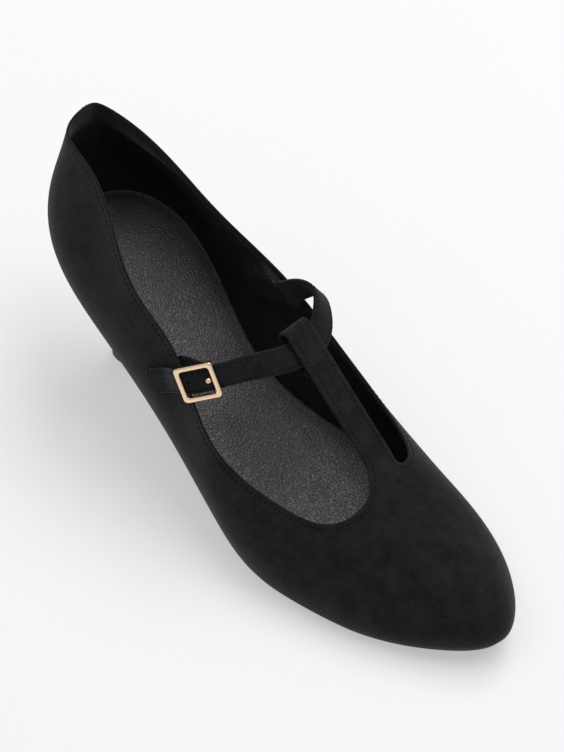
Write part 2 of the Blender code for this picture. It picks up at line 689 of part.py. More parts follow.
def make_buckle_pin(curve, finish):
    """The pin: a short post on the hidden bar, up through the strap's hole, with a ball on top."""
    r, ball = PIN_DIAMETER / 2, PIN_TIP / 2
    foot = GAP - BAR_DEPTH + BAR_SIZE / 2
    neck = STRAP_THICKNESS / 2 + GAP
    profile = [(r, foot), (r, neck)]
    start = np.arcsin(r / ball)
    centre = neck + ball * np.cos(start)
    for turn in np.linspace(start, np.pi, 7)[1:-1]:
        profile.append((ball * np.sin(turn), centre - ball * np.cos(turn)))
    profile.append((ball * 0.12, centre + ball))
    around = np.linspace(0, 2 * np.pi, 14, endpoint=False)
    sections = []
    for radius, height in profile:
        circle = [(PIN_OFFSET + radius * np.cos(a), radius * np.sin(a), height) for a in around]
        sections.append(on_buckle(curve, circle))
    return loft("buckle_pin", sections, finish)


def tab_curve(curve):
    """From the inside of the lateral quarter to the underside of the buckle's hidden bar."""
    half = TAB_THICKNESS / 2
    guides = []
    for row, height in TAB_IN_QUARTER:
        face = wall_normal([row], [height])[0]
        guides.append((wall([row], [height])[0] - face * (WALL + STRAP_REST + half), face))
    below = -(BAR_DEPTH + BAR_SIZE / 2 + 2 * GAP + half)
    for along in (-2 * BAR_SIZE, BAR_SIZE):
        point, above = on_buckle(curve, [(PIN_OFFSET + along, 0, below), (PIN_OFFSET + along, 0, 0)])
        guides.append((point, unit(above - point)))
    return band(guides)


def make_buckle_tab(curve, finish):
    """The short band that holds the buckle's hidden bar to the inside of the lateral quarter."""
    half = TAB_THICKNESS / 2
    line = tab_curve(curve)
    steps = np.linspace(0, line[0][-1], 16)
    return loft("buckle_tab", [on_strap(line, strip_section(s, TAB_WIDTH, -half, half)) for s in steps], finish)


for old in list(bpy.data.objects):
    bpy.data.objects.remove(old)
suede = material("black_suede", BLACK_SUEDE, 0.95)
sock = material("sock_leather", SOCK_GREY, 0.55)
rubber = material("sole_rubber", SOLE_BLACK, 0.6)
gold = material("pale_gold", GOLD, 0.25, 1.0)
strap_line = band(strap_guides())
make_upper(suede)
make_insole(sock)
make_outsole(rubber)
make_heel(suede)
make_top_piece(rubber)
make_cross_strap(strap_line, suede)
make_buckle_frame(strap_line, gold)
make_buckle_pin(strap_line, gold)
make_buckle_tab(strap_line, suede)
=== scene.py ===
"""The looks of the right t strap shoe, built round its CAD solids."""
import math

import bmesh
import bpy
import numpy as np
from mathutils import Matrix, Vector
from mathutils.bvhtree import BVHTree
from mathutils.kdtree import KDTree


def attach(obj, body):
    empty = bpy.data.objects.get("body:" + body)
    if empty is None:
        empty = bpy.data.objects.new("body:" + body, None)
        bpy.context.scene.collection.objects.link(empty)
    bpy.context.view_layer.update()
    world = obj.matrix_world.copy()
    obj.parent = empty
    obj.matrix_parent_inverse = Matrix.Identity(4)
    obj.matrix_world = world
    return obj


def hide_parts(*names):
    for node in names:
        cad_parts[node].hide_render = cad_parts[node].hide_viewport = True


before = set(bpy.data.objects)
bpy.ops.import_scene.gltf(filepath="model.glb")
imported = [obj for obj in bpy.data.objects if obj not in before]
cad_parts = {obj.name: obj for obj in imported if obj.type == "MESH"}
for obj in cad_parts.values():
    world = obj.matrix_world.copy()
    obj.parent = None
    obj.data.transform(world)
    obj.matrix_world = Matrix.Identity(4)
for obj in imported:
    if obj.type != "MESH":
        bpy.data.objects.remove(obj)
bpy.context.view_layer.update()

# Driving sizes
LENGTH = 0.238             # the last's length along the floor that the shares below are taken of
BALL_WIDTH = 0.077
HEEL_SET = 0.0345          # from the back of the last to the middle of the heel's floor face
HEEL_RISE = 0.060          # the seat above the tread
TREAD = 0.0035             # the last's bottom above the floor at the ball
TOE_SPRING = 0.0085
COUNTER = 0.056            # height of the topline at the back, above the last's bottom
WALL = 0.0016
GAP = 0.0003               # between pieces that touch
FEATHER_REACH = 0.012      # outside the feather line, where the ribs' tops slope to

INSOLE_THICKNESS = 0.0022
SOLE_TREAD = 0.0035        # thickness of the outsole at the ball
SOLE_EDGE = 0.0022         # thickness of the outsole at the waist
SOLE_INSET = 0.0018        # from the upper's feather line in to the edge of the outsole and of the heel's seat

TOP_PIECE_LENGTH = 0.0135
TOP_PIECE_WIDTH = 0.0130
TOP_PIECE_HEIGHT = 0.0055
TOP_PIECE_BEVEL = 0.0004
HEEL_SQUARENESS = 2.6      # 2 is an ellipse
HEEL_BACK_SWEEP = 1.5      # how quickly the heel draws in under the seat, at its back and at its breast
HEEL_BREAST_SWEEP = 3.4

T_WIDTH = 0.0120
T_LENGTH = 0.0645          # from the throat to the fold, along the T bar
T_START_SLOPE = 36         # degrees above the floor at the throat
T_END_SLOPE = 37           # and at the fold
T_SIDE = 0.118             # the T bar's middle at the throat, as a share of the ball width
T_DRIFT = 0.0004           # how far it moves to the medial side by the fold
LOOP_LENGTH = 0.0124       # from the fold to where it closes under the strap
LOOP_CLOSE = 0.0022        # length over which it closes
TAIL_LENGTH = 0.0042       # from the loop to the end that is stitched under the T bar

STRAP_WIDTH = 0.0100
STRAP_THICKNESS = 0.0016
STRAP_HOLE = 0.0024
LOOP_DEPTH = 2 * WALL + STRAP_THICKNESS + 4 * GAP
STRAP_REST = 0.0006        # between the strap and the quarters it is sewn to
LOOP_INSET = 0.0020        # from the fold to the strap's edge
BUCKLE_LENGTH = 0.0152     # along the strap
BUCKLE_WIDTH = 0.0148
BUCKLE_BAR = 0.0018
BUCKLE_THICKNESS = 0.0016
PIN_DIAMETER = 0.0015
PIN_TIP = 0.0024
PIN_OFFSET = 0.0042        # from the buckle's middle to its pin, along the strap
HOLE_STEP = 0.0080         # from the pin's hole to the strap's next hole
SPARE_HOLE = 0.0014
BUCKLE_AT = 0.0268         # the buckle's middle, from the strap's lateral end
BUCKLE_CORNER = 0.0017
BUCKLE_INNER_CORNER = 0.0013
BAR_SIZE = 0.0014
BAR_DEPTH = 0.0021         # the hidden bar below the strap's middle
TAB_WIDTH = 0.0100
TAB_THICKNESS = 0.0012

# The last's bottom: share of the length, share of the heel's rise, share of the toe spring
BOTTOM = (
    (0.00, 0.980, 0.00),
    (0.12, 0.920, 0.00),
    (0.24, 0.690, 0.00),
    (0.36, 0.410, 0.00),
    (0.48, 0.150, 0.00),
    (0.58, 0.030, 0.00),
    (0.67, 0.000, 0.00),
    (0.76, 0.000, 0.00),
    (0.88, 0.000, 0.34),
    (1.00, 0.000, 1.00),
)

# The upper, a rib for each row, from the back along the lateral side to the toe and back along the medial
# side. Foot is where the rib leaves the last's bottom and edge is where it ends at the opening, in shares of
# the length and of the ball width. Up is the edge's height above the last's bottom, as a share of COUNTER.
# Leans are degrees from upright, at the foot and at the edge. Reaches are shares of the rib's own chord.
RIBS = (
    # name, foot along, foot side, edge along, edge side, up, low lean, high lean, low reach, high reach
    ("back", 0.013, 0.010, 0.024, 0.010, 1.000, 18, 8, 0.40, 0.40),
    ("lateral heel turn", 0.034, -0.200, 0.040, -0.150, 0.980, 19, 10, 0.40, 0.40),
    ("lateral heel", 0.117, -0.355, 0.125, -0.215, 0.945, 19, 10, 0.40, 0.40),
    ("lateral seat", 0.237, -0.390, 0.243, -0.340, 0.790, 18, 12, 0.40, 0.40),
    ("lateral waist", 0.370, -0.410, 0.358, -0.360, 0.750, 20, 8, 0.40, 0.40),
    ("lateral front", 0.495, -0.470, 0.475, -0.450, 0.640, 21, 12, 0.40, 0.40),
    ("lateral ball", 0.608, -0.525, 0.587, -0.405, 0.590, 19, 40, 0.40, 0.40),
    ("lateral throat", 0.697, -0.490, 0.665, -0.320, 0.560, 16, 55, 0.35, 0.40),
    ("lateral corner", 0.797, -0.400, 0.699, -0.205, 0.590, 14, 62, 0.30, 0.45),
    ("lateral toe", 0.906, -0.218, 0.702, -0.120, 0.620, 12, 64, 0.25, 0.45),
    ("tip", 0.974, 0.045, 0.698, 0.030, 0.660, 10, 65, 0.26, 0.45),
    ("medial toe", 0.928, 0.268, 0.694, 0.130, 0.665, 12, 64, 0.25, 0.45),
    ("medial corner", 0.826, 0.428, 0.690, 0.235, 0.650, 16, 62, 0.28, 0.45),
    ("medial throat", 0.717, 0.458, 0.668, 0.325, 0.620, 15, 53, 0.34, 0.40),
    ("medial ball", 0.625, 0.462, 0.605, 0.390, 0.640, 17, 34, 0.38, 0.40),
    ("medial front", 0.500, 0.365, 0.488, 0.400, 0.750, 18, 16, 0.40, 0.40),
    ("medial waist", 0.370, 0.260, 0.368, 0.365, 0.790, 15, 5, 0.40, 0.40),
    ("medial seat", 0.240, 0.340, 0.247, 0.270, 0.800, 18, 8, 0.40, 0.40),
    ("medial heel", 0.115, 0.360, 0.134, 0.195, 0.875, 18, 10, 0.40, 0.40),
    ("medial heel turn", 0.033, 0.220, 0.038, 0.115, 0.950, 18, 8, 0.40, 0.40),
)
ROWS = [row[0] for row in RIBS]
THROAT_LATERAL = ROWS.index("lateral toe")
THROAT_MEDIAL = ROWS.index("medial corner")
BREAST = ROWS.index("lateral seat")
TOE = ROWS.index("tip")

# The cross strap's free stretches: share of the length, of the ball width, of the instep's height, and the
# way that its face looks, in degrees from upright (lateral is negative) and towards the toe
STRAP_BUCKLE_SIDE = (
    ("lateral bar", 0.402, -0.412, 0.845, -80, 15),
    ("buckle", 0.423, -0.361, 0.886, -70, 27),
    ("medial bar", 0.443, -0.302, 0.923, -62, 34),
    ("rise", 0.463, -0.184, 0.935, -38, 41),
)
STRAP_ANCHOR_SIDE = (
    ("shoulder", 0.462, 0.328, 0.952, 34, 30),
    ("arch", 0.433, 0.374, 0.978, 58, 12),
    ("leave", 0.403, 0.340, 0.935, 80, -4),
)
# Where the strap lies on the upper: rib, counted in rows of RIBS, and height, as a share of the rib
STRAP_ON_QUARTER = ((3.76, 0.50), (3.88, 0.61), (4.02, 0.74))
STRAP_IN_QUARTER = ((15.98, 0.90), (16.20, 0.78), (16.40, 0.66))
TAB_IN_QUARTER = ((4.10, 0.70), (4.12, 0.81), (4.14, 0.92))

# Camera, as the photograph was taken
IMAGE_HEIGHT = 752
SENSOR = 36
CAMERA_TURN = 40.25
CAMERA_RISE = 51.516
CAMERA_ROLL = 5.954
CAMERA_DISTANCE = 0.974
CAMERA_FOCAL = 2590.1      # in pixels
CAMERA_AIM = (0.0825, 0.0, 0.04)
CAMERA_UP = 0.0138
CAMERA_CLIP = (0.05, 20)

# Finer faces and small reliefs
COLUMNS = 24               # per row of RIBS
WALL_HEIGHTS = ((0, 0.06, 9), (0.06, 0.87, 35), (0.87, 1, 19))   # from, to and steps, as shares of a rib
SEAM_REACH = 0.13          # in rows, to each side of the back seam
SEAM_COLUMNS = 27
SEAM_ROW = 0.0162          # length of a row at the back
SEAM_START = 0.05          # share of the rib over which the seam's relief sets in
SEAM_DEPTH = 0.00030
SEAM_WIDTH = 0.00035
SEAM_RIDGE = 0.00012       # beside the seam, on each side
SEAM_RIDGE_AT = 0.0011
SEAM_RIDGE_WIDTH = 0.0007
FILLET_ROWS = 22
STRAIGHT_ROWS = 70
FOLD_ROWS = 26
LOOP_ROWS = 20
CLOSE_ROWS = 8
TAIL_ROWS = 5
EDGE_ARC = 6
EDGE_WALL = 0.0009         # the wall's thickness at the opening's edge
EDGE_TAPER = 0.0045
EDGE_BULGE = 0.0004
FEATHER_ROLL = 0.0012
TURNED_RISE = 0.00006      # of the leather turned over the edge
TURNED_WIDTH = 0.0065
TURNED_FADE = 0.003
SEWN_IN = 0.0018           # from the edge of the upper to its stitches
SEWN_DEPTH = 0.00009
SEWN_SPREAD = 0.00045
STRAP_SEWN_IN = 0.0012
END_BOX = 0.0085           # from the strap's lateral end to the row of stitches across it
TAIL_SEWN = 0.0016
SEAM_SHORT = 4             # rows of the T bar's straight stretch that its seams leave free at the fold
LINING_START = 0.012       # share of the rib where the lining starts, just above the feather line
LINING_DROP = 0.0016       # from the edge of the opening down to the lining's
LINING_STAND = 0.00022     # how far it stands out from the wall, and how far its back runs into it
LINING_SINK = 0.0003
LINING_ROUND = 0.0004
LINING_LEVELS = 40
FACING_DROP = 0.0095       # as LINING_DROP, at the back
FACING_ROWS = 1.6
FACING_FADE = 0.9
FACING_SEWN = 0.0079
FACING_SEAM_ROWS = 1.5
POCKET_LENGTH = 0.0135     # of the strap's end between the lining and the wall
POCKET_ROWS = (0.74, 0.87) # where to look for it, in shares of the way round
POCKET_SPARE = 0.0003
POCKET_AHEAD = 0.0005      # past the strap's end, and beside it, where the lining still stands out in full
POCKET_FLAT = 0.0004
POCKET_SOFT = 0.0045       # from there to where it lies on the wall again
STITCH_STEP = 0.0022
STITCH_GAP = 0.0008
# Along a stitch: share of its length, height above the skin and radius, both in shares of THREAD
STITCH_SHAPE = ((0.0, -1.0, 0.55), (0.14, -0.1, 0.9), (0.5, 0.25, 1.0), (0.86, -0.1, 0.9), (1.0, -1.0, 0.55))
THREAD = 0.00018
THREAD_SIDES = 7
SOCK_TUCK = 0.0005         # how far the sock's edge runs into the wall, so that no light comes through
SOCK_LIFT = 0.0003         # its underside above the insole's at that edge
SOCK_EDGE = 0.0008
PAD_SINK = 0.0009
PAD_BORDER = 0.0050
SOLE_ROUND = 0.0009
TREAD_FROM = 0.072
TREAD_TO = 0.178
TREAD_STEP = 0.0046
TREAD_DEPTH = 0.0004
TREAD_BORDER = 0.006
TREAD_FADE = 0.002
TREAD_BOW = 8              # how much the grooves bend, per metre
HEEL_ROUND = 0.0003
# The floor plate's underside from its middle out: inset as a share of its width, height in bevels
TIP_UNDERSIDE = ((0.35, 1), (0.30, 1), (0.28, 0), (0.10, 0), (0.08, 1), (0.06, 1), (0.04, 0))
BAND_CROWN = 0.00012
BAND_SIDE = 0.85           # radius of a band's edges, as a share of half its thickness
BAND_END = 0.0008
BAND_END_DROP = 0.55       # how much thinner a band is at its very end, and how much of that narrower
BAND_END_INSET = 0.12
LOOP_GUIDE = 0.42          # where the strap runs straight in the loop, as a share of the T bar's width
STRAP_SWELL = 0.08         # how much wider the strap's skin is drawn inside the buckle
STRAP_SWELL_REACH = 0.42   # as a share of the buckle's length
FRAME_STEPS = 14           # points along each corner and each side of the frame
BAR_SQUARENESS = 4.6
HIDDEN_BAR = 0.0010
HIDDEN_BEND = 0.7          # radius of its bends, as a share of BAR_SIZE
HIDDEN_TOP = 0.45          # how far its posts run up into the frame, as a share of its thickness
HIDDEN_HALF = 0.0059       # from the middle of the strap to the hidden bar's posts
MERGE = 0.00001            # points closer than this become one

# Finishes
SUEDE_DARK = (0.0022, 0.0019, 0.0027)
SUEDE_LIGHT = (0.0122, 0.0108, 0.0134)
SHEEN_TINT = (0.55, 0.53, 0.57, 1.0)
SOCK_DARK = (0.062, 0.057, 0.062)
SOCK_LIGHT = (0.088, 0.082, 0.087)
LINING_DARK = (0.006, 0.0055, 0.0065)
LINING_LIGHT = (0.010, 0.009, 0.0105)
RUBBER_DARK = (0.008, 0.008, 0.008)
RUBBER_LIGHT = (0.014, 0.014, 0.014)
GOLD_DARK = (0.86, 0.63, 0.42)
GOLD_LIGHT = (0.90, 0.68, 0.48)
THREAD_DARK = (0.0015, 0.0015, 0.002)
THREAD_LIGHT = (0.004, 0.004, 0.005)
FLOOR_DARK = (0.52, 0.52, 0.523)
FLOOR_LIGHT = (0.53, 0.53, 0.533)
# the floor glows evenly: painted light that lifts the shadows cast on it
FLOOR_GLOW = 0.405
WHITE = (1.0, 1.0, 1.0, 1.0)
NOISE_RANGE = (0.3, 0.7)   # of a noise's values, spread over a roughness's range


def leather(dark, light, rough, grain, specular):
    """The row of FINISHES for a soft synthetic leather with a fine pebbled grain."""
    return (
        (("Noise", 60), 0.3, 0.7, dark, light),
        (("Noise", 300), rough - 0.05, rough + 0.07),
        ((("Voronoi", grain), 0.9, 0.00045), (("Noise", 900, 4), 0.6, 0.0002)),
        {"Specular IOR Level": specular},
    )


NAP = ("Noise", 1500, 3, 0.7)
# Fine black microfibre: matte, with a short nap that catches the light at the edges
SUEDE = (
    (("Noise", 130, 9, 0.78), 0.36, 0.64, SUEDE_DARK, SUEDE_LIGHT),
    (NAP, 0.86, 1.0),
    ((NAP, 0.6, 0.00025), (("Noise", 420), 0.35, 0.0004)),
    {"Specular IOR Level": 0.2, "Sheen Weight": 0.22, "Sheen Roughness": 0.45, "Sheen Tint": SHEEN_TINT},
)
# For each: a texture with its dark end, its light end and their colours; a texture with the roughness's ends;
# bumps, each a texture, a strength and a height in metres; and plain values
FINISHES = {
    "black_suede": SUEDE,
    "heel_suede": SUEDE,
    "sock_leather": leather(SOCK_DARK, SOCK_LIGHT, 0.33, 1500, 0.6),
    "lining_leather": leather(LINING_DARK, LINING_LIGHT, 0.6, 1300, 0.3),
    "sole_rubber": (
        (("Noise", 200), 0.3, 0.7, RUBBER_DARK, RUBBER_LIGHT),
        (("Noise", 200), 0.5, 0.66),
        ((("Noise", 900), 0.25, 0.00008),),
        {},
    ),
    "pale_gold": (
        (("Noise", 250, 2), 0.3, 0.7, GOLD_DARK, GOLD_LIGHT),
        (("Noise", 500), 0.09, 0.16),
        ((("Noise", 120, 2), 0.05, 0.0002),),
        {"Metallic": 1.0},
    ),
    "black_thread": (
        (("Noise", 2600, 2), 0.3, 0.7, THREAD_DARK, THREAD_LIGHT),
        (("Noise", 2600, 2), 0.85, 1.0),
        ((("Noise", 2600, 2), 0.4, 0.00006),),
        {"Specular IOR Level": 0.15},
    ),
    # Its emission is painted light that brightens the floor's shadows.
    "pale_floor": (
        (("Noise", 5, 2), 0.2, 0.8, FLOOR_DARK, FLOOR_LIGHT),
        None,
        (),
        {"Roughness": 1.0, "Specular IOR Level": 0.0, "Emission Color": WHITE, "Emission Strength": FLOOR_GLOW},
    ),
}

# Stage
FLOOR_MIDDLE = 0.08
FLOOR_SIZE = 3.0
FLOOR_DROP = 0.0002        # below the soles' flat faces, so that no two faces lie in one plane
FLOOR_RIM = 0.3
FLOOR_FLAT = 0.75          # share of the floor inside its raised rim
LIGHT_AIM = (0.08, 0.0, 0.03)
LIGHTS = (
    # name, place, size, watts
    ("key", (0.30, 0.40, 1.45), (1.0, 0.9), 9),
    ("back", (-0.36, 0.74, 1.36), (0.7, 0.6), 7),
    ("fill", (-0.50, -0.66, 1.42), (0.9, 0.8), 3),
)
WORLD_STRENGTH = 0.40

UP = np.array([0.0, 0.0, 1.0])


# Smooth tables

def spline(knots, rows, at, closed=False):
    """Reads a smooth curve through the rows at the given values."""
    knots = np.asarray(knots, float)
    rows = np.asarray(rows, float)
    at = np.asarray(at, float)
    n = len(knots)
    h = np.diff(knots)
    slope = np.diff(rows, axis=0) / h[:, None]
    a = np.zeros((n, n))
    b = np.zeros((n, rows.shape[1]))
    for i in range(1, n - 1):
        a[i, i - 1:i + 2] = h[i - 1], 2 * (h[i - 1] + h[i]), h[i]
        b[i] = 6 * (slope[i] - slope[i - 1])
    if closed:
        a[0, 0], a[0, -1] = 1, -1
        a[-1, 0], a[-1, 1], a[-1, -2], a[-1, -1] = 2 * h[0], h[0], h[-1], 2 * h[-1]
        b[-1] = 6 * (slope[0] - slope[-1])
    else:
        a[0, 0] = a[-1, -1] = 1
    m = np.linalg.solve(a, b)
    i = np.clip(np.searchsorted(knots, at, side="right") - 1, 0, n - 2)
    after = (at - knots[i])[:, None]
    before = (knots[i + 1] - at)[:, None]
    step = h[i][:, None]
    curve = (m[i] * before ** 3 + m[i + 1] * after ** 3) / (6 * step)
    low, high = rows[i] / step - m[i] * step / 6, rows[i + 1] / step - m[i + 1] * step / 6
    return curve + low * before + high * after


def unit(v):
    return v / np.linalg.norm(v, axis=-1, keepdims=True)


def smooth_step(x):
    x = np.clip(x, 0, 1)
    return x * x * (3 - 2 * x)


def quarter(x):
    """A quarter of a circle: rises from 0 at 0 to 1 at 1, steep at first and flat at the end."""
    return np.sqrt(np.clip(1 - (1 - np.clip(x, 0, 1)) ** 2, 0, 1))


def full_turn(count):
    return np.linspace(0, 2 * np.pi, count, endpoint=False)


def run(points):
    """Distance along a line of points, at each of them."""
    return np.concatenate([[0], np.cumsum(np.linalg.norm(np.diff(points, axis=0), axis=1))])


def read_line(at, distance, values):
    return np.stack([np.interp(at, distance, values[:, k]) for k in range(3)], 1)


# The last

def along_to_x(share):
    return share * LENGTH - HEEL_SET


def bottom_height(x):
    """Height of the last's bottom above the floor."""
    table = np.array(BOTTOM)
    share = np.clip((np.asarray(x, float) + HEEL_SET) / LENGTH, 0, 1)
    rise, spring = spline(table[:, 0], table[:, 1:], share.ravel()).T
    return (rise * HEEL_RISE + TREAD + spring * TOE_SPRING).reshape(share.shape)


def rib_knots():
    foot = np.array([row[1:3] for row in RIBS + RIBS[:1]]) * [LENGTH, BALL_WIDTH]
    return run(foot)


def feather(rows):
    """The line where the upper meets the last's bottom, and its outward direction, at rows of RIBS."""
    values = rib_values(rows)
    x = along_to_x(values[:, 0])
    line = np.stack([x, values[:, 1] * BALL_WIDTH, bottom_height(x)], 1)
    near = 0.02
    ahead, behind = (rib_values(np.asarray(rows) + step)[:, :2] for step in (near, -near))
    along = (ahead - behind) * [LENGTH, BALL_WIDTH]
    return line, unit(np.stack([along[:, 1], -along[:, 0], 0 * x], 1))


def rib_values(rows):
    rows = np.mod(np.asarray(rows, float), len(RIBS))
    knots = rib_knots()
    table = np.array([row[1:] for row in RIBS + RIBS[:1]], float)
    at = np.interp(rows, np.arange(len(RIBS) + 1), knots)
    return spline(knots, table, at, closed=True)


def ribs(rows):
    """The four control points of each rib, from the feather line up to the opening's edge."""
    values = rib_values(rows)
    foot, out = feather(rows)
    x = along_to_x(values[:, 2])
    edge = np.stack([x, values[:, 3] * BALL_WIDTH, bottom_height(x) + values[:, 4] * COUNTER], 1)
    low, high = np.radians(values[:, 5:6]), np.radians(values[:, 6:7])
    chord = np.linalg.norm(edge - foot, axis=1, keepdims=True)
    level = foot - edge + out * FEATHER_REACH
    level[:, 2] = 0
    level = unit(level)
    rise = foot + chord * values[:, 7:8] * (np.sin(low) * out + np.cos(low) * UP)
    fall = edge + chord * values[:, 8:9] * (np.sin(high) * level - np.cos(high) * UP)
    return foot, rise, fall, edge


def wall(rows, heights):
    """Points of the upper's outer face: heights run from 0 at the feather line to 1 at the edge."""
    foot, rise, fall, edge = ribs(np.asarray(rows, float))
    w = np.asarray(heights, float)[..., None]
    v = 1 - w
    return v ** 3 * foot + 3 * v * v * w * rise + 3 * v * w * w * fall + w ** 3 * edge


def wall_normal(rows, heights):
    rows, heights = np.asarray(rows, float), np.asarray(heights, float)
    near = 0.01
    round_way = wall(rows + near, heights) - wall(rows - near, heights)
    up_way = wall(rows, np.minimum(heights + near, 1)) - wall(rows, np.maximum(heights - near, 0))
    return unit(np.cross(round_way, up_way))


# The T bar

def t_bar_path(s):
    """Middle of the T bar's outer face, its way and its outward way, at distance s from the throat."""
    s = np.asarray(s, float)
    base = wall([THROAT_LATERAL, THROAT_MEDIAL], [1, 1])
    side = T_SIDE * BALL_WIDTH
    share = (side - base[0, 1]) / (base[1, 1] - base[0, 1])
    start = base[0] + (base[1] - base[0]) * share
    steps = 200
    slopes = np.radians(np.linspace(T_START_SLOPE, T_END_SLOPE, steps))
    back, up = (np.concatenate([[0], np.cumsum(way(slopes))]) * T_LENGTH / steps for way in (np.cos, np.sin))
    along = np.arange(steps + 1) * T_LENGTH / steps
    slope = np.radians(T_START_SLOPE + (T_END_SLOPE - T_START_SLOPE) * s / T_LENGTH)
    drift = T_DRIFT * s / T_LENGTH
    point = start + np.stack([-np.interp(s, along, back), drift, np.interp(s, along, up)], -1)
    way = np.stack([-np.cos(slope), 0 * s, np.sin(slope)], -1)
    return point, way, np.stack([np.sin(slope), 0 * s, np.cos(slope)], -1)


def fillet(s, radius):
    """How much wider than its straight stretch the T bar is, at distance s from the throat."""
    return radius - np.sqrt(np.maximum(radius ** 2 - np.maximum(radius - s, 0) ** 2, 0))


def t_bar(columns):
    """The outer and inner faces of the T bar and its fold, as two grids that start on the wall's own edge."""
    edge = wall(columns, np.ones(len(columns)))
    side = T_SIDE * BALL_WIDTH
    half = T_WIDTH / 2 - EDGE_BULGE
    lateral = side - half - edge[0, 1]
    medial = edge[-1, 1] - side - half
    across = (edge[:, 1] - edge[0, 1]) / (edge[-1, 1] - edge[0, 1])
    turn = np.linspace(0, np.pi / 2, FILLET_ROWS)
    top = np.concatenate([lateral * (1 - np.cos(turn)), np.linspace(lateral, T_LENGTH, STRAIGHT_ROWS)[1:]])

    def spread(s):
        middle = side + T_DRIFT * s / T_LENGTH
        low = middle - half - fillet(s, lateral)
        high = middle + half + fillet(s, medial)
        return low + (high - low) * across

    start = t_bar_path(0)[0]
    leftover = edge - np.stack([0 * across + start[0], spread(0), 0 * across + start[2]], 1)
    first_normal = wall_normal(columns, np.ones(len(columns)))
    outer, inner = [], []
    for s in top:
        point, _, normal = t_bar_path(s)
        fade = 1 - smooth_step(s / lateral)
        row = np.stack([0 * across + point[0], spread(s), 0 * across + point[2]], 1) + leftover * fade
        face = unit(first_normal * fade + normal * (1 - fade))
        outer.append(row)
        inner.append(row - WALL * face)
    point, way, normal = t_bar_path(T_LENGTH)
    flat = np.stack([0 * across, spread(T_LENGTH), 0 * across], 1)
    centre = point - normal * LOOP_DEPTH / 2
    centre[1] = 0
    for turn in np.linspace(0, np.pi, FOLD_ROWS)[1:]:
        arm = np.cos(turn) * normal + np.sin(turn) * way
        outer.append(flat + centre + arm * LOOP_DEPTH / 2)
        inner.append(flat + centre + arm * (LOOP_DEPTH / 2 - WALL))
    loop = np.linspace(0, LOOP_LENGTH, LOOP_ROWS)[1:]
    close = np.linspace(0, LOOP_CLOSE, CLOSE_ROWS)[1:] + LOOP_LENGTH
    tail = np.linspace(LOOP_CLOSE, TAIL_LENGTH, TAIL_ROWS)[1:] + LOOP_LENGTH
    for back in (*loop, *close, *tail):
        point, _, normal = t_bar_path(T_LENGTH - back)
        closing = smooth_step((back - LOOP_LENGTH) / LOOP_CLOSE)
        depth = LOOP_DEPTH - closing * (LOOP_DEPTH - 2 * WALL - GAP)
        middle = point - normal * depth
        middle[1] = 0
        outer.append(flat + middle)
        inner.append(flat + middle + normal * WALL)
    return np.array(outer), np.array(inner)


# The cross strap

def facing(lean, turn):
    lean, turn = np.radians(lean), np.radians(turn)
    return np.array([np.sin(turn), np.sin(lean) * np.cos(turn), np.cos(lean) * np.cos(turn)])


def on_wall(row, height, out):
    """A point that stands out from the upper's outer face, and the way the face looks there."""
    face = wall_normal([row], [height])[0]
    return wall([row], [height])[0] + face * out, face


def strap_guides():
    """Points on the middle of the strap and the way its outer face looks there, from the lateral end on."""
    out = STRAP_REST + STRAP_THICKNESS / 2
    scale = np.array([LENGTH, BALL_WIDTH, t_bar_path(T_LENGTH)[0][2]])

    def free(table):
        return [(np.array(place) * scale - [HEEL_SET, 0, 0], facing(lean, turn))
                for _, *place, lean, turn in table]

    point, _, face = t_bar_path(T_LENGTH - LOOP_INSET - STRAP_WIDTH / 2)
    under = point - face * (WALL + 2 * GAP + STRAP_THICKNESS / 2)
    loop = [(under + [0, side * T_WIDTH, 0], face) for side in (-LOOP_GUIDE, LOOP_GUIDE)]
    sewn_on = [on_wall(*place, out) for place in STRAP_ON_QUARTER]
    sewn_in = [on_wall(*place, -WALL - out) for place in STRAP_IN_QUARTER]
    return [*sewn_on, *free(STRAP_BUCKLE_SIDE), *loop, *free(STRAP_ANCHOR_SIDE), *sewn_in]


def band(guides):
    """Distances along a band's middle line, with its points, cross directions and outward directions."""
    points, faces = (np.array(values) for values in zip(*guides))
    knots = run(points)
    line = spline(knots, np.column_stack([points, faces]), np.linspace(0, knots[-1], 400))
    middle = line[:, :3]
    distance = run(middle)
    way = unit(np.gradient(middle, distance, axis=0))
    side = unit(np.cross(way, unit(line[:, 3:])))
    return distance, middle, side, np.cross(side, way)


def on_strap(curve, places):
    """Turns places on the strap (along it, across it to the toe, out from its middle) into points."""
    distance, middle, side, face = curve
    places = np.asarray(places, float)
    middle, side, face = (read_line(places[:, 0], distance, values) for values in (middle, side, face))
    return middle + side * places[:, 1:2] + face * places[:, 2:3]


# Making meshes

def settle(mesh, sharp, merge=None):
    """Turns the faces outwards and shades them smoothly up to the sharp angle; merge joins points that meet."""
    build = bmesh.new()
    build.from_mesh(mesh)
    if merge:
        bmesh.ops.remove_doubles(build, verts=build.verts, dist=merge)
    bmesh.ops.recalc_face_normals(build, faces=build.faces)
    build.to_mesh(mesh)
    build.free()
    mesh.shade_smooth()
    mesh.set_sharp_from_angle(angle=math.radians(sharp))


def new_object(name, points, faces):
    mesh = bpy.data.meshes.new(name)
    mesh.from_pydata(np.asarray(points, float).tolist(), [], faces)
    made = bpy.data.objects.new(name, mesh)
    bpy.context.scene.collection.objects.link(made)
    return made


def piece(name, points, faces, finish, stands_for=None, sharp=40, merge=None):
    """One object of the visual model, closed and smooth, that rides on the shoe's only body."""
    made = new_object(name, points, faces)
    settle(made.data, sharp, merge)
    made.data.materials.append(finish)
    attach(made, "root")
    if stands_for:
        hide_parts(stands_for)
    return made


def move_points(made, offsets):
    """Moves each vertex along its own normal."""
    mesh = made.data
    normals, points = np.zeros((2, len(mesh.vertices) * 3), np.float32)
    mesh.vertices.foreach_get("normal", normals)
    mesh.vertices.foreach_get("co", points)
    mesh.vertices.foreach_set("co", points + normals * np.repeat(offsets, 3))
    mesh.update()


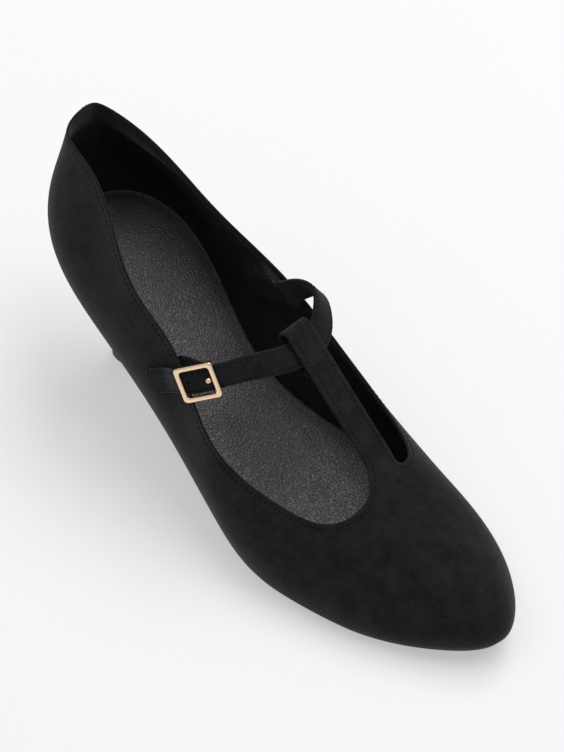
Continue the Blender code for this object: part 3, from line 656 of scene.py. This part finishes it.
def grid_faces(rows, columns, start=0, closed=False, ring=False):
    """Quads of a grid stored row by row; closed joins each row's ends, and ring the last row to the first."""
    faces = []
    for i in range(rows if ring else rows - 1):
        low, high = start + i * columns, start + (i + 1) % rows * columns
        for j in range(columns if closed else columns - 1):
            k = (j + 1) % columns
            faces.append((low + j, low + k, high + k, high + j))
    return faces


def solid_faces(rows, columns):
    """Faces of a closed solid whose points are stored ring by ring."""
    last = (rows - 1) * columns
    ends = [tuple(range(columns))[::-1], tuple(range(last, last + columns))]
    return grid_faces(rows, columns, closed=True) + ends


def loft(name, sections, finish, stands_for=None, sharp=40, merge=None):
    """A closed solid through sections that all have the same number of points."""
    faces = solid_faces(len(sections), len(sections[0]))
    return piece(name, np.concatenate(sections), faces, finish, stands_for, sharp, merge)


def join_meshes(parts):
    """Several lists of points and faces as one."""
    points, faces = [], []
    for some_points, some_faces in parts:
        start = len(points)
        points.extend(some_points)
        faces.extend(tuple(start + k for k in face) for face in some_faces)
    return points, faces


def tube(path, radii, around):
    """Points and faces of a round bar along a path, closed at both ends."""
    path = np.asarray(path, float)
    way = unit(np.gradient(path, axis=0))
    side = unit(np.cross(way[0], UP if abs(way[0][2]) < 0.9 else np.array([1.0, 0.0, 0.0])))
    points = []
    for point, along, radius in zip(path, way, radii):
        side = unit(side - along * (side @ along))
        up = np.cross(along, side)
        points.extend(point + radius * (np.cos(t) * side + np.sin(t) * up) for t in full_turn(around))
    return points, solid_faces(len(path), around)


def skin_tree(made):
    build = bmesh.new()
    build.from_mesh(made.data)
    tree = BVHTree.FromBMesh(build)
    build.free()
    return tree


def point_tree(points):
    tree = KDTree(len(points))
    for k, point in enumerate(points):
        tree.insert(Vector(point), k)
    tree.balance()
    return tree


def stitches(path, tree):
    """A row of short threads sunk in the surface along a path."""
    path = np.asarray(path, float)
    distance = run(path)
    ends = read_line(np.arange(0, distance[-1], STITCH_STEP), distance, path)
    gap = STITCH_GAP / STITCH_STEP
    parts = []
    for one, two in zip(ends, ends[1:]):
        centres = []
        for share, height, _ in STITCH_SHAPE:
            found, normal, _, _ = tree.find_nearest(Vector(one + (two - one) * (gap / 2 + (1 - gap) * share)))
            centres.append(np.array(found) + np.array(normal) * height * THREAD)
        parts.append(tube(centres, [radius * THREAD for _, _, radius in STITCH_SHAPE], THREAD_SIDES))
    return parts


def sew(name, paths, onto, finish):
    """Rows of stitches along paths on a piece, as a piece of their own."""
    tree = skin_tree(onto)
    points, faces = join_meshes([part for path in paths for part in stitches(path, tree)])
    return piece(name, points, faces, finish, sharp=70)


# Finishes

def texture(tree, kind, scale, detail=3, rough=0.55):
    """A value that varies over the surface: noise, or the smooth cells of a pebbled grain."""
    place = tree.nodes.new("ShaderNodeTexCoord")
    made = tree.nodes.new("ShaderNodeTex" + kind)
    made.inputs["Scale"].default_value = scale
    if kind == "Noise":
        made.inputs["Detail"].default_value = detail
        made.inputs["Roughness"].default_value = rough
    else:
        made.feature = "SMOOTH_F1"
        made.inputs["Smoothness"].default_value = 0.5
    tree.links.new(place.outputs["Object"], made.inputs["Vector"])
    return made.outputs["Fac" if kind == "Noise" else "Distance"]


def make_finish(name, tone, rough, bumps, sockets):
    """A finish whose colour and roughness follow textures, under a stack of bumps."""
    made = bpy.data.materials.new(name)
    made.use_nodes = True
    tree = made.node_tree
    shader = tree.nodes["Principled BSDF"]
    grain, start, end, dark, light = tone
    ramp = tree.nodes.new("ShaderNodeValToRGB")
    for element, position, colour in zip(ramp.color_ramp.elements, (start, end), (dark, light)):
        element.position = position
        element.color = (*colour, 1)
    tree.links.new(texture(tree, *grain), ramp.inputs["Fac"])
    tree.links.new(ramp.outputs["Color"], shader.inputs["Base Color"])
    if rough:
        grain, *limits = rough
        spread = tree.nodes.new("ShaderNodeMapRange")
        for socket, value in zip(("From Min", "From Max", "To Min", "To Max"), (*NOISE_RANGE, *limits)):
            spread.inputs[socket].default_value = value
        tree.links.new(texture(tree, *grain), spread.inputs["Value"])
        tree.links.new(spread.outputs["Result"], shader.inputs["Roughness"])
    below = None
    for grain, strength, height in bumps:
        layer = tree.nodes.new("ShaderNodeBump")
        layer.inputs["Strength"].default_value = strength
        layer.inputs["Distance"].default_value = height
        tree.links.new(texture(tree, *grain), layer.inputs["Height"])
        if below:
            tree.links.new(below.outputs["Normal"], layer.inputs["Normal"])
        below = layer
    if below:
        tree.links.new(below.outputs["Normal"], shader.inputs["Normal"])
    for socket, value in sockets.items():
        shader.inputs[socket].default_value = value
    return made


# The upper

def upper_rows():
    """Places round the upper, in rows of RIBS, closer together at the back seam."""
    count = len(RIBS)
    even = np.arange(count * COLUMNS) / COLUMNS
    seam = np.linspace(-SEAM_REACH, SEAM_REACH, SEAM_COLUMNS)
    away = np.minimum(even, count - even) > SEAM_REACH + 0.5 / COLUMNS
    return np.sort(np.concatenate([even[away], np.mod(seam, count)]))


def make_upper(finish):
    """The whole upper as one wall with a turned edge; also the line of that edge, and the places round it."""
    rows = upper_rows()
    columns = len(rows)
    heights = [h for low, high, steps in WALL_HEIGHTS for h in np.linspace(low, high, steps, endpoint=False)]
    heights = np.array([*heights, 1.0])
    plain = np.array([wall(rows, h) for h in heights])
    normals = np.array([wall_normal(rows, h) for h in heights])
    roll = FEATHER_ROLL * (1 - quarter(np.linalg.norm(plain - plain[0], axis=2) / FEATHER_ROLL))
    outer = plain - normals * roll[:, :, None] * [1, 1, 0]
    neck = np.flatnonzero((rows > THROAT_LATERAL - 1e-6) & (rows < THROAT_MEDIAL + 1e-6))
    bar_outer, bar_inner = (face[1:] for face in t_bar(rows[neck]))
    high, wide, long = len(heights), len(neck), len(bar_outer)
    rim = [*outer[-1, neck[-1]:], *outer[-1, :neck[0] + 1], *bar_outer[:, 0], *bar_outer[-1], *bar_outer[:, -1]]
    inner = plain - WALL * thinning(outer, rim)[:, :, None] * normals
    inner[0] = plain[0] - WALL * normals[0]
    inner[0, :, 2] = plain[0, :, 2]
    bar_inner = bar_outer + (bar_inner - bar_outer) * thinning(bar_outer, rim)[:, :, None]
    inside = high * columns
    bar = 2 * inside
    bar_inside = bar + long * wide
    points = np.concatenate([g.reshape(-1, 3) for g in (outer, inner, bar_outer, bar_inner)])
    faces = grid_faces(high, columns, 0, True) + grid_faces(high, columns, inside, True)
    faces += grid_faces(long, wide, bar) + grid_faces(long, wide, bar_inside)
    faces += [(j, (j + 1) % columns, inside + (j + 1) % columns, inside + j) for j in range(columns)]
    top = (high - 1) * columns
    for a in range(wide - 1):
        j = top + neck[a]
        faces.append((j, j + 1, bar + a + 1, bar + a))
        faces.append((inside + j, inside + j + 1, bar_inside + a + 1, bar_inside + a))

    # The edge of the opening, once round: the topline, the T bar's lateral side, its end and its medial side
    ring = [int(k) for k in (*range(neck[-1], columns), *range(neck[0] + 1))]
    side = [i * wide for i in range(long)]
    end = [(long - 1) * wide + a for a in range(1, wide - 1)]
    loop = [(top + j, inside + top + j) for j in ring]
    loop += [(bar + k, bar_inside + k) for k in (*side, *end, *(k + wide - 1 for k in side[::-1]))]
    one, two = (points[list(ends)] for ends in zip(*loop))
    across = unit(one - two)
    middle = (one + two) / 2
    out = unit(np.cross(across, unit(np.roll(middle, -1, 0) - np.roll(middle, 1, 0))))
    if out[0, 2] < 0:
        out = -out
    half = np.linalg.norm(one - two, axis=1)[:, None] / 2
    arcs = [middle + half * np.cos(turn) * across + EDGE_BULGE * np.sin(turn) * out
            for turn in np.linspace(0, np.pi, EDGE_ARC + 2)[1:-1]]
    start, count = len(points), len(loop)
    points = np.concatenate([points, *arcs])
    strips = [[a, *(start + row * count + k for row in range(EDGE_ARC)), b] for k, (a, b) in enumerate(loop)]
    for here, ahead in zip(strips, strips[1:] + strips[:1]):
        faces += [(here[a], ahead[a], ahead[a + 1], here[a + 1]) for a in range(EDGE_ARC + 1)]
    made = piece("upper_skin", points, faces, finish, "upper", sharp=50)

    # Relief: a turned edge with a sewn groove, and the seam up the back
    tree = point_tree(one)
    offsets = np.zeros(len(points))
    for k in (*range(inside), *range(bar, bar_inside)):
        offsets[k] = edge_relief(tree.find(Vector(points[k]))[2])
    from_seam = np.abs((rows + 1) % len(RIBS) - 1) * SEAM_ROW
    offsets[:inside] += np.outer(smooth_step(heights / SEAM_START), seam_relief(from_seam)).ravel()
    move_points(made, offsets)
    chord = np.linalg.norm(np.diff(plain, axis=0), axis=2).sum(0)
    return made, (one, out, len(ring)), (rows, chord)


def thinning(points, rim):
    """Share of the wall's full thickness at each point of a grid, by its distance from the opening's edge."""
    tree = point_tree(rim)
    reach = np.array([tree.find(Vector(point))[2] for point in points.reshape(-1, 3)])
    full = EDGE_WALL + (WALL - EDGE_WALL) * smooth_step(reach / EDGE_TAPER)
    return (full / WALL).reshape(points.shape[:2])


def edge_relief(reach):
    """How far the outer face stands out at a distance from the opening's edge."""
    turned = TURNED_RISE * (1 - smooth_step((reach - TURNED_WIDTH) / TURNED_FADE))
    return turned - SEWN_DEPTH * math.exp(-((reach - SEWN_IN) / SEWN_SPREAD) ** 2)


def seam_relief(reach):
    ridge = SEAM_RIDGE * np.exp(-((reach - SEAM_RIDGE_AT) / SEAM_RIDGE_WIDTH) ** 2)
    return ridge - SEAM_DEPTH * np.exp(-(reach / SEAM_WIDTH) ** 2)


def make_lining(places, curve, finish):
    """The black lining, a thin sheet inside the wall that stops below the edge, lower at the back."""
    rows, chord = places
    from_back = np.minimum(rows, len(RIBS) - rows)
    lower = 1 - smooth_step((from_back - FACING_ROWS) / FACING_FADE)
    drop = LINING_DROP + (FACING_DROP - LINING_DROP) * lower
    reach = 1 - drop / chord - LINING_START
    levels = np.linspace(0, 1, LINING_LEVELS)
    middle = np.array([wall(rows, LINING_START + reach * level) for level in levels])
    normals = np.array([wall_normal(rows, LINING_START + reach * level) for level in levels])
    left = (1 - levels)[:, None] * reach * chord
    stand = LINING_STAND + cover_strap(middle - WALL * normals, -normals, curve)
    face = middle - normals * (WALL + stand * quarter(left / LINING_ROUND))[:, :, None]
    back = middle - normals * (WALL - LINING_SINK)
    faces = grid_faces(2 * LINING_LEVELS, len(rows), closed=True, ring=True)
    return piece("upper_lining", np.concatenate([*face, *back[::-1]]), faces, finish, sharp=60)


def cover_strap(places, inward, curve):
    """How much further in the lining stands where the strap's sewn end lies between it and the wall."""
    sewn = curve[0] > curve[0][-1] - POCKET_LENGTH
    middle, side, face = (values[sewn] for values in curve[1:])
    tree = point_tree(middle)
    stand = np.zeros(places.shape[:2])
    for i, j in np.ndindex(stand.shape):
        if not POCKET_ROWS[0] < j / stand.shape[1] < POCKET_ROWS[1]:
            continue
        _, k, _ = tree.find(Vector(places[i, j]))
        gap = places[i, j] - middle[k]
        beside = max(0, abs(gap @ side[k]) - STRAP_WIDTH / 2)
        ahead = max(0, abs(gap @ np.cross(side[k], face[k])) - POCKET_AHEAD)
        deep = STRAP_THICKNESS / 2 + POCKET_SPARE - gap @ inward[i, j]
        fade = smooth_step((math.hypot(beside, ahead) - POCKET_FLAT) / POCKET_SOFT)
        stand[i, j] = max(0, deep) * (1 - fade)
    for _ in range(3):
        soft = stand.copy()
        soft[1:-1] = (stand[:-2] + 2 * stand[1:-1] + stand[2:]) / 4
        soft[:, 1:-1] = (soft[:, :-2] + 2 * soft[:, 1:-1] + soft[:, 2:]) / 4
        stand = np.maximum(soft, stand * 0.97)
    return stand


def upper_seams(rim):
    """Rows of stitches: along each side of the opening and of the T bar, and across the T bar's end."""
    line, out, ring = rim
    inset = line - out * SEWN_IN
    up_bar = FILLET_ROWS + STRAIGHT_ROWS - SEAM_SHORT
    medial = np.concatenate([inset[-up_bar:], inset[:ring // 2]])
    point = t_bar_path(T_LENGTH - LOOP_LENGTH - TAIL_SEWN)[0]
    half = T_WIDTH / 2 - SEWN_IN
    end = [point + [0, side, 0] for side in np.linspace(-half, half, 30)]
    return inset[ring // 2:ring + up_bar], medial, end


def facing_seam(places):
    """The row that holds the facing inside the back."""
    path = []
    for row in np.linspace(-FACING_SEAM_ROWS, FACING_SEAM_ROWS, 80) % len(RIBS):
        path.append(on_wall(row, 1 - FACING_SEWN / np.interp(row, *places), -WALL)[0])
    return path


# The sole, the insole and the heel

def cross_row(one, two, height, cross):
    share = np.linspace(0, 1, cross + 1)[:, None]
    row = one * (1 - share) + two * share
    row[:, 2] = height(row[:, 0])
    return row


def plate(name, levels, finish, stands_for, relief, first_row=0, cross=44, columns=14):
    """A slab inside the feather line, from first_row to the toe, as part.py makes it, with finer faces."""
    lateral = np.arange(first_row * columns, TOE * columns + 1) / columns
    sides = []
    for rows in (lateral, len(RIBS) - lateral):
        line, out = feather(rows)
        rings = np.array([line + out * offset for offset, _ in levels])
        for ring, (_, height) in zip(rings, levels):
            ring[:, 2] = height(ring[:, 0])
        sides.append(rings.swapaxes(0, 1))
    sections = []
    for left, right in zip(*sides):
        top = cross_row(left[0], right[0], levels[0][1], cross)
        under = cross_row(right[-1], left[-1], levels[-1][1], cross)
        sections.append(np.array([*top, *right[1:-1], *under, *left[-2:0:-1]]))
    relief(sections, cross, len(levels))
    return loft(name, sections, finish, stands_for, 35, MERGE)


def rounded_levels(fit, radius, top, under, steps=5):
    """Levels of a plate whose upper and lower edges are rounded."""
    turns = np.linspace(0, np.pi / 2, steps)
    levels = []
    for side, sign, way in ((top, -1, turns[::-1]), (under, 1, turns)):
        for inset, lift in zip(radius * (1 - np.cos(way)), sign * radius * (1 - np.sin(way))):
            levels.append((fit - inset, lambda x, side=side, lift=lift: side(x) + lift))
    return levels


def insole_top(x):
    return bottom_height(x) + INSOLE_THICKNESS


def padded_top(sections, cross, _):
    """Sinks the sock's border, so that its middle stands up as a soft pad."""
    flat = [1, 1, 0]
    rim = point_tree([section[k] * flat for section in sections for k in (0, cross)])
    for section in sections:
        for point in section[:cross + 1]:
            point[2] -= PAD_SINK * (1 - smooth_step(rim.find(Vector(point * flat))[2] / PAD_BORDER))


def make_insole(finish):
    fit = SOCK_TUCK - WALL
    levels = rounded_levels(fit, SOCK_EDGE, insole_top, bottom_height, 4)[:4]
    levels.append((fit, lambda x: bottom_height(x) + SOCK_LIFT))
    return plate("sock", levels, finish, "insole", padded_top)


def sole_top(x):
    return bottom_height(x) - GAP


def sole_under(x):
    """The outsole's lower face: flat on the floor under the ball."""
    thick = SOLE_EDGE + (SOLE_TREAD - SOLE_EDGE) * smooth_step((x - along_to_x(0.36)) / (0.22 * LENGTH))
    return np.maximum(bottom_height(x) - GAP - thick, 0)


def tread(sections, cross, levels):
    """Cuts fine grooves across the underside of the forefoot."""
    first = cross + levels - 1
    for section in sections:
        step = np.hypot(*(section[first] - section[first + cross])[:2]) / cross
        for k in range(1, cross):
            point = section[first + k]
            x, y = point[:2]
            share = smooth_step((min(k, cross - k) * step - TREAD_BORDER) / (TREAD_FADE / 2))
            share *= smooth_step((x - TREAD_FROM) / TREAD_FADE) * smooth_step((TREAD_TO - x) / TREAD_FADE)
            wave = math.cos(2 * math.pi * (x + TREAD_BOW * y * y) / TREAD_STEP)
            point[2] += share * TREAD_DEPTH * smooth_step((wave + 0.2) / 0.6)


def make_outsole(finish):
    levels = rounded_levels(-SOLE_INSET, SOLE_ROUND, sole_top, sole_under)
    return plate("sole", levels, finish, "outsole", tread, BREAST, 48, 40)


def squared(angle, squareness):
    """Points of a circle, drawn out towards a square's corners; a squareness of 2 leaves it round."""
    way = np.array([np.cos(angle), np.sin(angle)])
    return np.sign(way) * np.abs(way) ** (2 / squareness)


def heel_foot(angle):
    """Outline of the heel's floor face, a square with its corners well rounded."""
    return squared(angle, HEEL_SQUARENESS).T * [TOP_PIECE_LENGTH / 2, TOP_PIECE_WIDTH / 2]


def make_heel(finish, cross=30, steps=70, columns=20):
    """The covered heel: its top follows the seat, and its back and breast sweep in to the floor face."""
    last = BREAST * columns
    lateral = np.arange(last + 1) / columns
    left, right = (line - out * SOLE_INSET for line, out in map(feather, (lateral, len(RIBS) - lateral)))
    left[0] = right[0] = (left[0] + right[0]) / 2
    breast = cross_row(left[-1], right[-1], sole_top, cross)
    ring = np.array([*left[:-1], *breast, *right[-2:0:-1]])
    ring[:, 2] = sole_top(ring[:, 0])
    low, high = ring[:, :2].min(0), ring[:, :2].max(0)
    along, side = ((ring[:, :2] - (low + high) / 2) / (high - low)).T
    angle = np.arctan2(side, along)
    foot = np.column_stack([heel_foot(angle), 0 * angle])
    front = (1 + np.cos(angle)) / 2
    sweep = HEEL_BACK_SWEEP + (HEEL_BREAST_SWEEP - HEEL_BACK_SWEEP) * front ** 2
    under = TOP_PIECE_HEIGHT + GAP
    rings = [ring]
    for share in np.linspace(0, 1, steps):
        keep = ((1 - share) ** sweep)[:, None]
        plan = foot * (1 - keep) + ring * keep
        plan[:, 2] = (ring[:, 2] - SOLE_EDGE) * (1 - share) + (under + HEEL_ROUND) * share
        rings.append(plan)
    for turn in np.linspace(0, np.pi / 2, 4)[1:]:
        plan = rings[steps] * (1 - HEEL_ROUND * (1 - np.cos(turn)) / (TOP_PIECE_WIDTH / 2))
        plan[:, 2] = under + HEEL_ROUND * (1 - np.sin(turn))
        rings.append(plan)
    count = len(ring)
    points = list(np.concatenate(rings))
    faces = grid_faces(len(rings), count, closed=True)
    faces.append(tuple((len(rings) - 1) * count + j for j in range(count)))
    strips = []
    for i in range(1, last):
        strips.append([i, *range(len(points), len(points) + cross - 1), count - i])
        points.extend(cross_row(ring[i], ring[count - i], sole_top, cross)[1:-1])
    strips.append(list(range(last, last + cross + 1)))
    for one, two in zip(strips, strips[1:]):
        faces += [(one[a], two[a], two[a + 1], one[a + 1]) for a in range(cross)]
    faces += [(0, strips[0][a], strips[0][a + 1]) for a in range(cross)]
    return piece("heel_cover", points, faces, finish, "heel", sharp=50)


def make_top_piece(finish):
    """The floor plate, with a shallow ring sunk in its underside and rounded edges."""
    corner = TOP_PIECE_BEVEL
    turns = np.linspace(0, np.pi / 2, 5)
    places = [(share * TOP_PIECE_WIDTH, depth * corner) for share, depth in TIP_UNDERSIDE]
    places += [(corner * (1 - np.sin(t)), corner * (1 - np.cos(t))) for t in turns]
    places += [(0, TOP_PIECE_HEIGHT / 2)]
    places += [(corner * (1 - np.cos(t)), TOP_PIECE_HEIGHT - corner * (1 - np.sin(t))) for t in turns]
    outline = heel_foot(full_turn(96))
    sections = []
    for inset, height in places:
        ring = outline * (1 - 2 * inset / np.array([TOP_PIECE_LENGTH, TOP_PIECE_WIDTH]))
        sections.append(np.column_stack([ring, np.full(len(ring), height)]))
    return loft("heel_tip", sections, finish, "top_piece", 45)


# The strap, the buckle and the tab

def strip_outline(width, half, sewn):
    """The section of a band with rounded edges, as places across it and out from its middle."""
    radius = half * BAND_SIDE
    flat = width / 2 - radius
    across = np.linspace(-flat, flat, 33)
    crown = BAND_CROWN * (1 - (across / flat) ** 2)
    if sewn:
        crown = crown - SEWN_DEPTH * np.exp(-((width / 2 - sewn - np.abs(across)) / SEWN_SPREAD) ** 2)
    turns = np.linspace(np.pi / 2, -np.pi / 2, 9)[1:-1]
    top = np.column_stack([across, half + crown])
    side = np.column_stack([flat + radius * np.cos(turns), half * np.sin(turns)])
    under = np.column_stack([across[::-1], 0 * across - half])
    return np.concatenate([top, side, under, -side])


def make_band(name, curve, width, thick, steps, finish, stands_for, sewn=None, swell=0.0):
    """A band along a curve, its ends rounded off; swell widens it inside the buckle."""
    outline = strip_outline(width, thick / 2, sewn)
    total = curve[0][-1]
    ends = BAND_END * np.arange(6) / 5
    middle = np.linspace(BAND_END, total - BAND_END, steps)[1:-1]
    sections = []
    for s in (*ends, *middle, *(total - ends[::-1])):
        full = 1 - BAND_END_DROP * (1 - quarter(min(s, total - s) / BAND_END))
        wide = 1 - (1 - full) * BAND_END_INSET
        wide += swell * math.exp(-((s - BUCKLE_AT) / (BUCKLE_LENGTH * STRAP_SWELL_REACH)) ** 4)
        sections.append(on_strap(curve, [(s, v * wide, h * full) for v, h in outline]))
    return loft(name, sections, finish, stands_for, 50)


def make_strap(curve, finish):
    """The cross strap with its pin's hole and its next hole."""
    strap = make_band("strap", curve, STRAP_WIDTH, STRAP_THICKNESS, 300, finish, "cross_strap", STRAP_SEWN_IN,
                      STRAP_SWELL)
    depth = 1.5 * STRAP_THICKNESS
    first = BUCKLE_AT + PIN_OFFSET
    for hole, size in ((first, STRAP_HOLE), (first - HOLE_STEP, SPARE_HOLE)):
        circle = [(hole + np.cos(t) * size / 2, np.sin(t) * size / 2) for t in full_turn(24)]
        punch(strap, [on_strap(curve, [(*place, h) for place in circle]) for h in (-depth, depth)])
    return strap


def punch(target, rings):
    """Cuts a round hole through a piece and applies it, so that no helper stays in the scene."""
    cutter = new_object("punch", np.concatenate(rings), solid_faces(2, len(rings[0])))
    settle(cutter.data, 50)
    boolean = target.modifiers.new("punch", "BOOLEAN")
    boolean.solver = "EXACT"
    boolean.object = cutter
    made = bpy.data.meshes.new_from_object(target.evaluated_get(bpy.context.evaluated_depsgraph_get()))
    target.modifiers.clear()
    target.data = made
    bpy.data.objects.remove(cutter)
    made.shade_smooth()
    made.set_sharp_from_angle(angle=math.radians(50))


def strap_seams(curve):
    """Rows of stitches along both edges, and across the squared end on the quarter."""
    edge = STRAP_WIDTH / 2 - STRAP_SEWN_IN
    length = np.linspace(STRAP_SEWN_IN, curve[0][-1] - STRAP_SEWN_IN, 200)
    paths = [[(s, side, STRAP_THICKNESS) for s in length] for side in (-edge, edge)]
    across = np.linspace(-edge, edge, 12)
    paths += [[(s, side, STRAP_THICKNESS) for side in across] for s in (STRAP_SEWN_IN, END_BOX)]
    return [on_strap(curve, path) for path in paths]


def rounded_rectangle(length, width, radius):
    """Points round a rectangle, with arcs at its corners and as many points along its sides."""
    a, b = length / 2 - radius, width / 2 - radius
    corners = np.array([(a, b), (-a, b), (-a, -b), (a, -b)])
    points = []
    for k, corner in enumerate(corners):
        turns = np.radians(np.linspace(90 * k, 90 * k + 90, FRAME_STEPS + 1))
        arc = radius * np.column_stack([np.cos(turns), np.sin(turns)])
        start, end = corner + arc[-1], corners[(k + 1) % 4] + arc[-1]
        shares = np.arange(1, FRAME_STEPS) / FRAME_STEPS
        points += [*(corner + arc), *(start + (end - start) * share for share in shares)]
    return np.array(points)


def on_buckle(curve, places):
    """Turns places in the buckle's flat plane (along the strap, across it to the toe, out) into points."""
    near = BUCKLE_LENGTH / 4
    centre, beside, ahead, behind = on_strap(
        curve, [(BUCKLE_AT, 0, 0), (BUCKLE_AT, near, 0), (BUCKLE_AT + near, 0, 0), (BUCKLE_AT - near, 0, 0)])
    way, side = unit(ahead - behind), unit(beside - centre)
    return centre + np.asarray(places, float) @ np.array([way, side, np.cross(side, way)])


def make_buckle(curve, finish):
    """The frame, with softly squared bars, and the hidden bar under the strap on its two posts."""
    low = STRAP_THICKNESS / 2 + GAP
    hole = (BUCKLE_LENGTH - 2 * BUCKLE_BAR, BUCKLE_WIDTH - 2 * BUCKLE_BAR)
    outer = rounded_rectangle(BUCKLE_LENGTH, BUCKLE_WIDTH, BUCKLE_CORNER)
    inner = rounded_rectangle(*hole, BUCKLE_INNER_CORNER)
    rings = []
    for turn in full_turn(28):
        out, up = squared(turn, BAR_SQUARENESS)
        plan = (outer + inner) / 2 + (outer - inner) / 2 * out
        height = np.full(len(plan), low + BUCKLE_THICKNESS / 2 * (1 + up))
        rings.append(on_buckle(curve, np.column_stack([plan, height])))
    frame_faces = grid_faces(len(rings), len(outer), closed=True, ring=True)
    bend = BAR_SIZE * HIDDEN_BEND
    path = [(HIDDEN_HALF, low + BUCKLE_THICKNESS * HIDDEN_TOP)]
    path += [(HIDDEN_HALF - bend * (1 - np.cos(t)), -BAR_DEPTH + bend * (1 - np.sin(t)))
             for t in np.linspace(0, np.pi / 2, 7)]
    path += [(-v, h) for v, h in path[::-1]]
    places = on_buckle(curve, [(PIN_OFFSET, v, h) for v, h in path])
    bar = tube(places, [HIDDEN_BAR / 2] * len(places), 18)
    points, faces = join_meshes([(list(np.concatenate(rings)), frame_faces), bar])
    return piece("buckle", points, faces, finish, "buckle_frame", sharp=60)


def make_pin(curve, finish):
    """The pin: a short post on the hidden bar, up through the strap's hole, with a ball on top."""
    r, ball = PIN_DIAMETER / 2, PIN_TIP / 2
    foot = GAP - BAR_DEPTH + BAR_SIZE / 2
    neck = STRAP_THICKNESS / 2 + GAP
    start = np.arcsin(r / ball)
    centre = neck + ball * np.cos(start)
    profile = [(r * 0.7, foot), (r, foot + r * 0.3), (r, neck)]
    profile += [(ball * np.sin(t), centre - ball * np.cos(t)) for t in np.linspace(start, np.pi, 18)[1:-1]]
    profile.append((ball * 0.06, centre + ball))
    sections = []
    for radius, height in profile:
        circle = [(PIN_OFFSET + radius * np.cos(t), radius * np.sin(t), height) for t in full_turn(32)]
        sections.append(on_buckle(curve, circle))
    return loft("pin", sections, finish, "buckle_pin", 50)


def tab_curve(curve):
    """From the inside of the lateral quarter to the underside of the buckle's hidden bar."""
    half = TAB_THICKNESS / 2
    guides = [on_wall(*place, -WALL - STRAP_REST - half) for place in TAB_IN_QUARTER]
    below = -(BAR_DEPTH + BAR_SIZE / 2 + 2 * GAP + half)
    for along in (PIN_OFFSET - 2 * BAR_SIZE, PIN_OFFSET + BAR_SIZE):
        point, above = on_buckle(curve, [(along, 0, below), (along, 0, 0)])
        guides.append((point, unit(above - point)))
    return band(guides)


# The stage

def make_floor(finish):
    """A large pale floor with a slightly raised rim, in mesh code."""
    steps = np.linspace(-1, 1, 41)
    points = []
    for a in steps:
        for b in steps:
            lift = FLOOR_RIM * smooth_step((max(abs(a), abs(b)) - FLOOR_FLAT) / (1 - FLOOR_FLAT))
            points.append((FLOOR_MIDDLE + a * FLOOR_SIZE, b * FLOOR_SIZE, lift - FLOOR_DROP))
    made = new_object("floor", points, grid_faces(len(steps), len(steps)))
    made.data.shade_smooth()
    made.data.materials.append(finish)


def add_light(name, place, size, watts):
    light = bpy.data.lights.new(name, "AREA")
    light.shape = "RECTANGLE"
    light.size, light.size_y = size
    light.energy = watts
    made = bpy.data.objects.new(name, light)
    made.location = place
    made.rotation_mode = "QUATERNION"
    made.rotation_quaternion = (Vector(LIGHT_AIM) - Vector(place)).to_track_quat("-Z", "Y")
    bpy.context.scene.collection.objects.link(made)


def make_camera():
    a, e, r = (math.radians(value) for value in (CAMERA_TURN, CAMERA_RISE, CAMERA_ROLL))
    back = Vector((math.sin(a) * math.cos(e), -math.cos(a) * math.cos(e), math.sin(e)))
    right = Vector((math.cos(a), math.sin(a), 0))
    up = back.cross(right)
    across = right * math.cos(r) + up * math.sin(r)
    upward = up * math.cos(r) - right * math.sin(r)
    camera = bpy.data.cameras.new("camera")
    camera.sensor_width = SENSOR
    camera.lens = CAMERA_FOCAL / IMAGE_HEIGHT * SENSOR
    camera.clip_start, camera.clip_end = CAMERA_CLIP
    made = bpy.data.objects.new("camera", camera)
    place = Vector(CAMERA_AIM) + upward * CAMERA_UP + back * CAMERA_DISTANCE
    turned = Matrix((across, upward, back)).transposed().to_4x4()
    made.matrix_world = Matrix.Translation(place) @ turned
    bpy.context.scene.collection.objects.link(made)
    bpy.context.scene.camera = made


make_camera()
finishes = {name: make_finish(name, *values) for name, values in FINISHES.items()}
suede, thread, gold = finishes["black_suede"], finishes["black_thread"], finishes["pale_gold"]

strap_line = band(strap_guides())
upper, rim, places = make_upper(suede)
make_lining(places, strap_line, finishes["lining_leather"])
sew("upper_stitches", upper_seams(rim), upper, thread)
sew("facing_stitches", [facing_seam(places)], upper, thread)
make_insole(finishes["sock_leather"])
make_outsole(finishes["sole_rubber"])
make_heel(finishes["heel_suede"])
make_top_piece(finishes["sole_rubber"])
strap = make_strap(strap_line, suede)
sew("strap_stitches", strap_seams(strap_line), strap, thread)
make_buckle(strap_line, gold)
make_pin(strap_line, gold)
make_band("tab", tab_curve(strap_line), TAB_WIDTH, TAB_THICKNESS, 60, suede, "buckle_tab")

make_floor(finishes["pale_floor"])
for light in LIGHTS:
    add_light(*light)
world = bpy.data.worlds.new("studio")
world.use_nodes = True
world.node_tree.nodes["Background"].inputs["Color"].default_value = WHITE
world.node_tree.nodes["Background"].inputs["Strength"].default_value = WORLD_STRENGTH
bpy.context.scene.world = world
bpy.context.scene.view_settings.view_transform = "Standard"
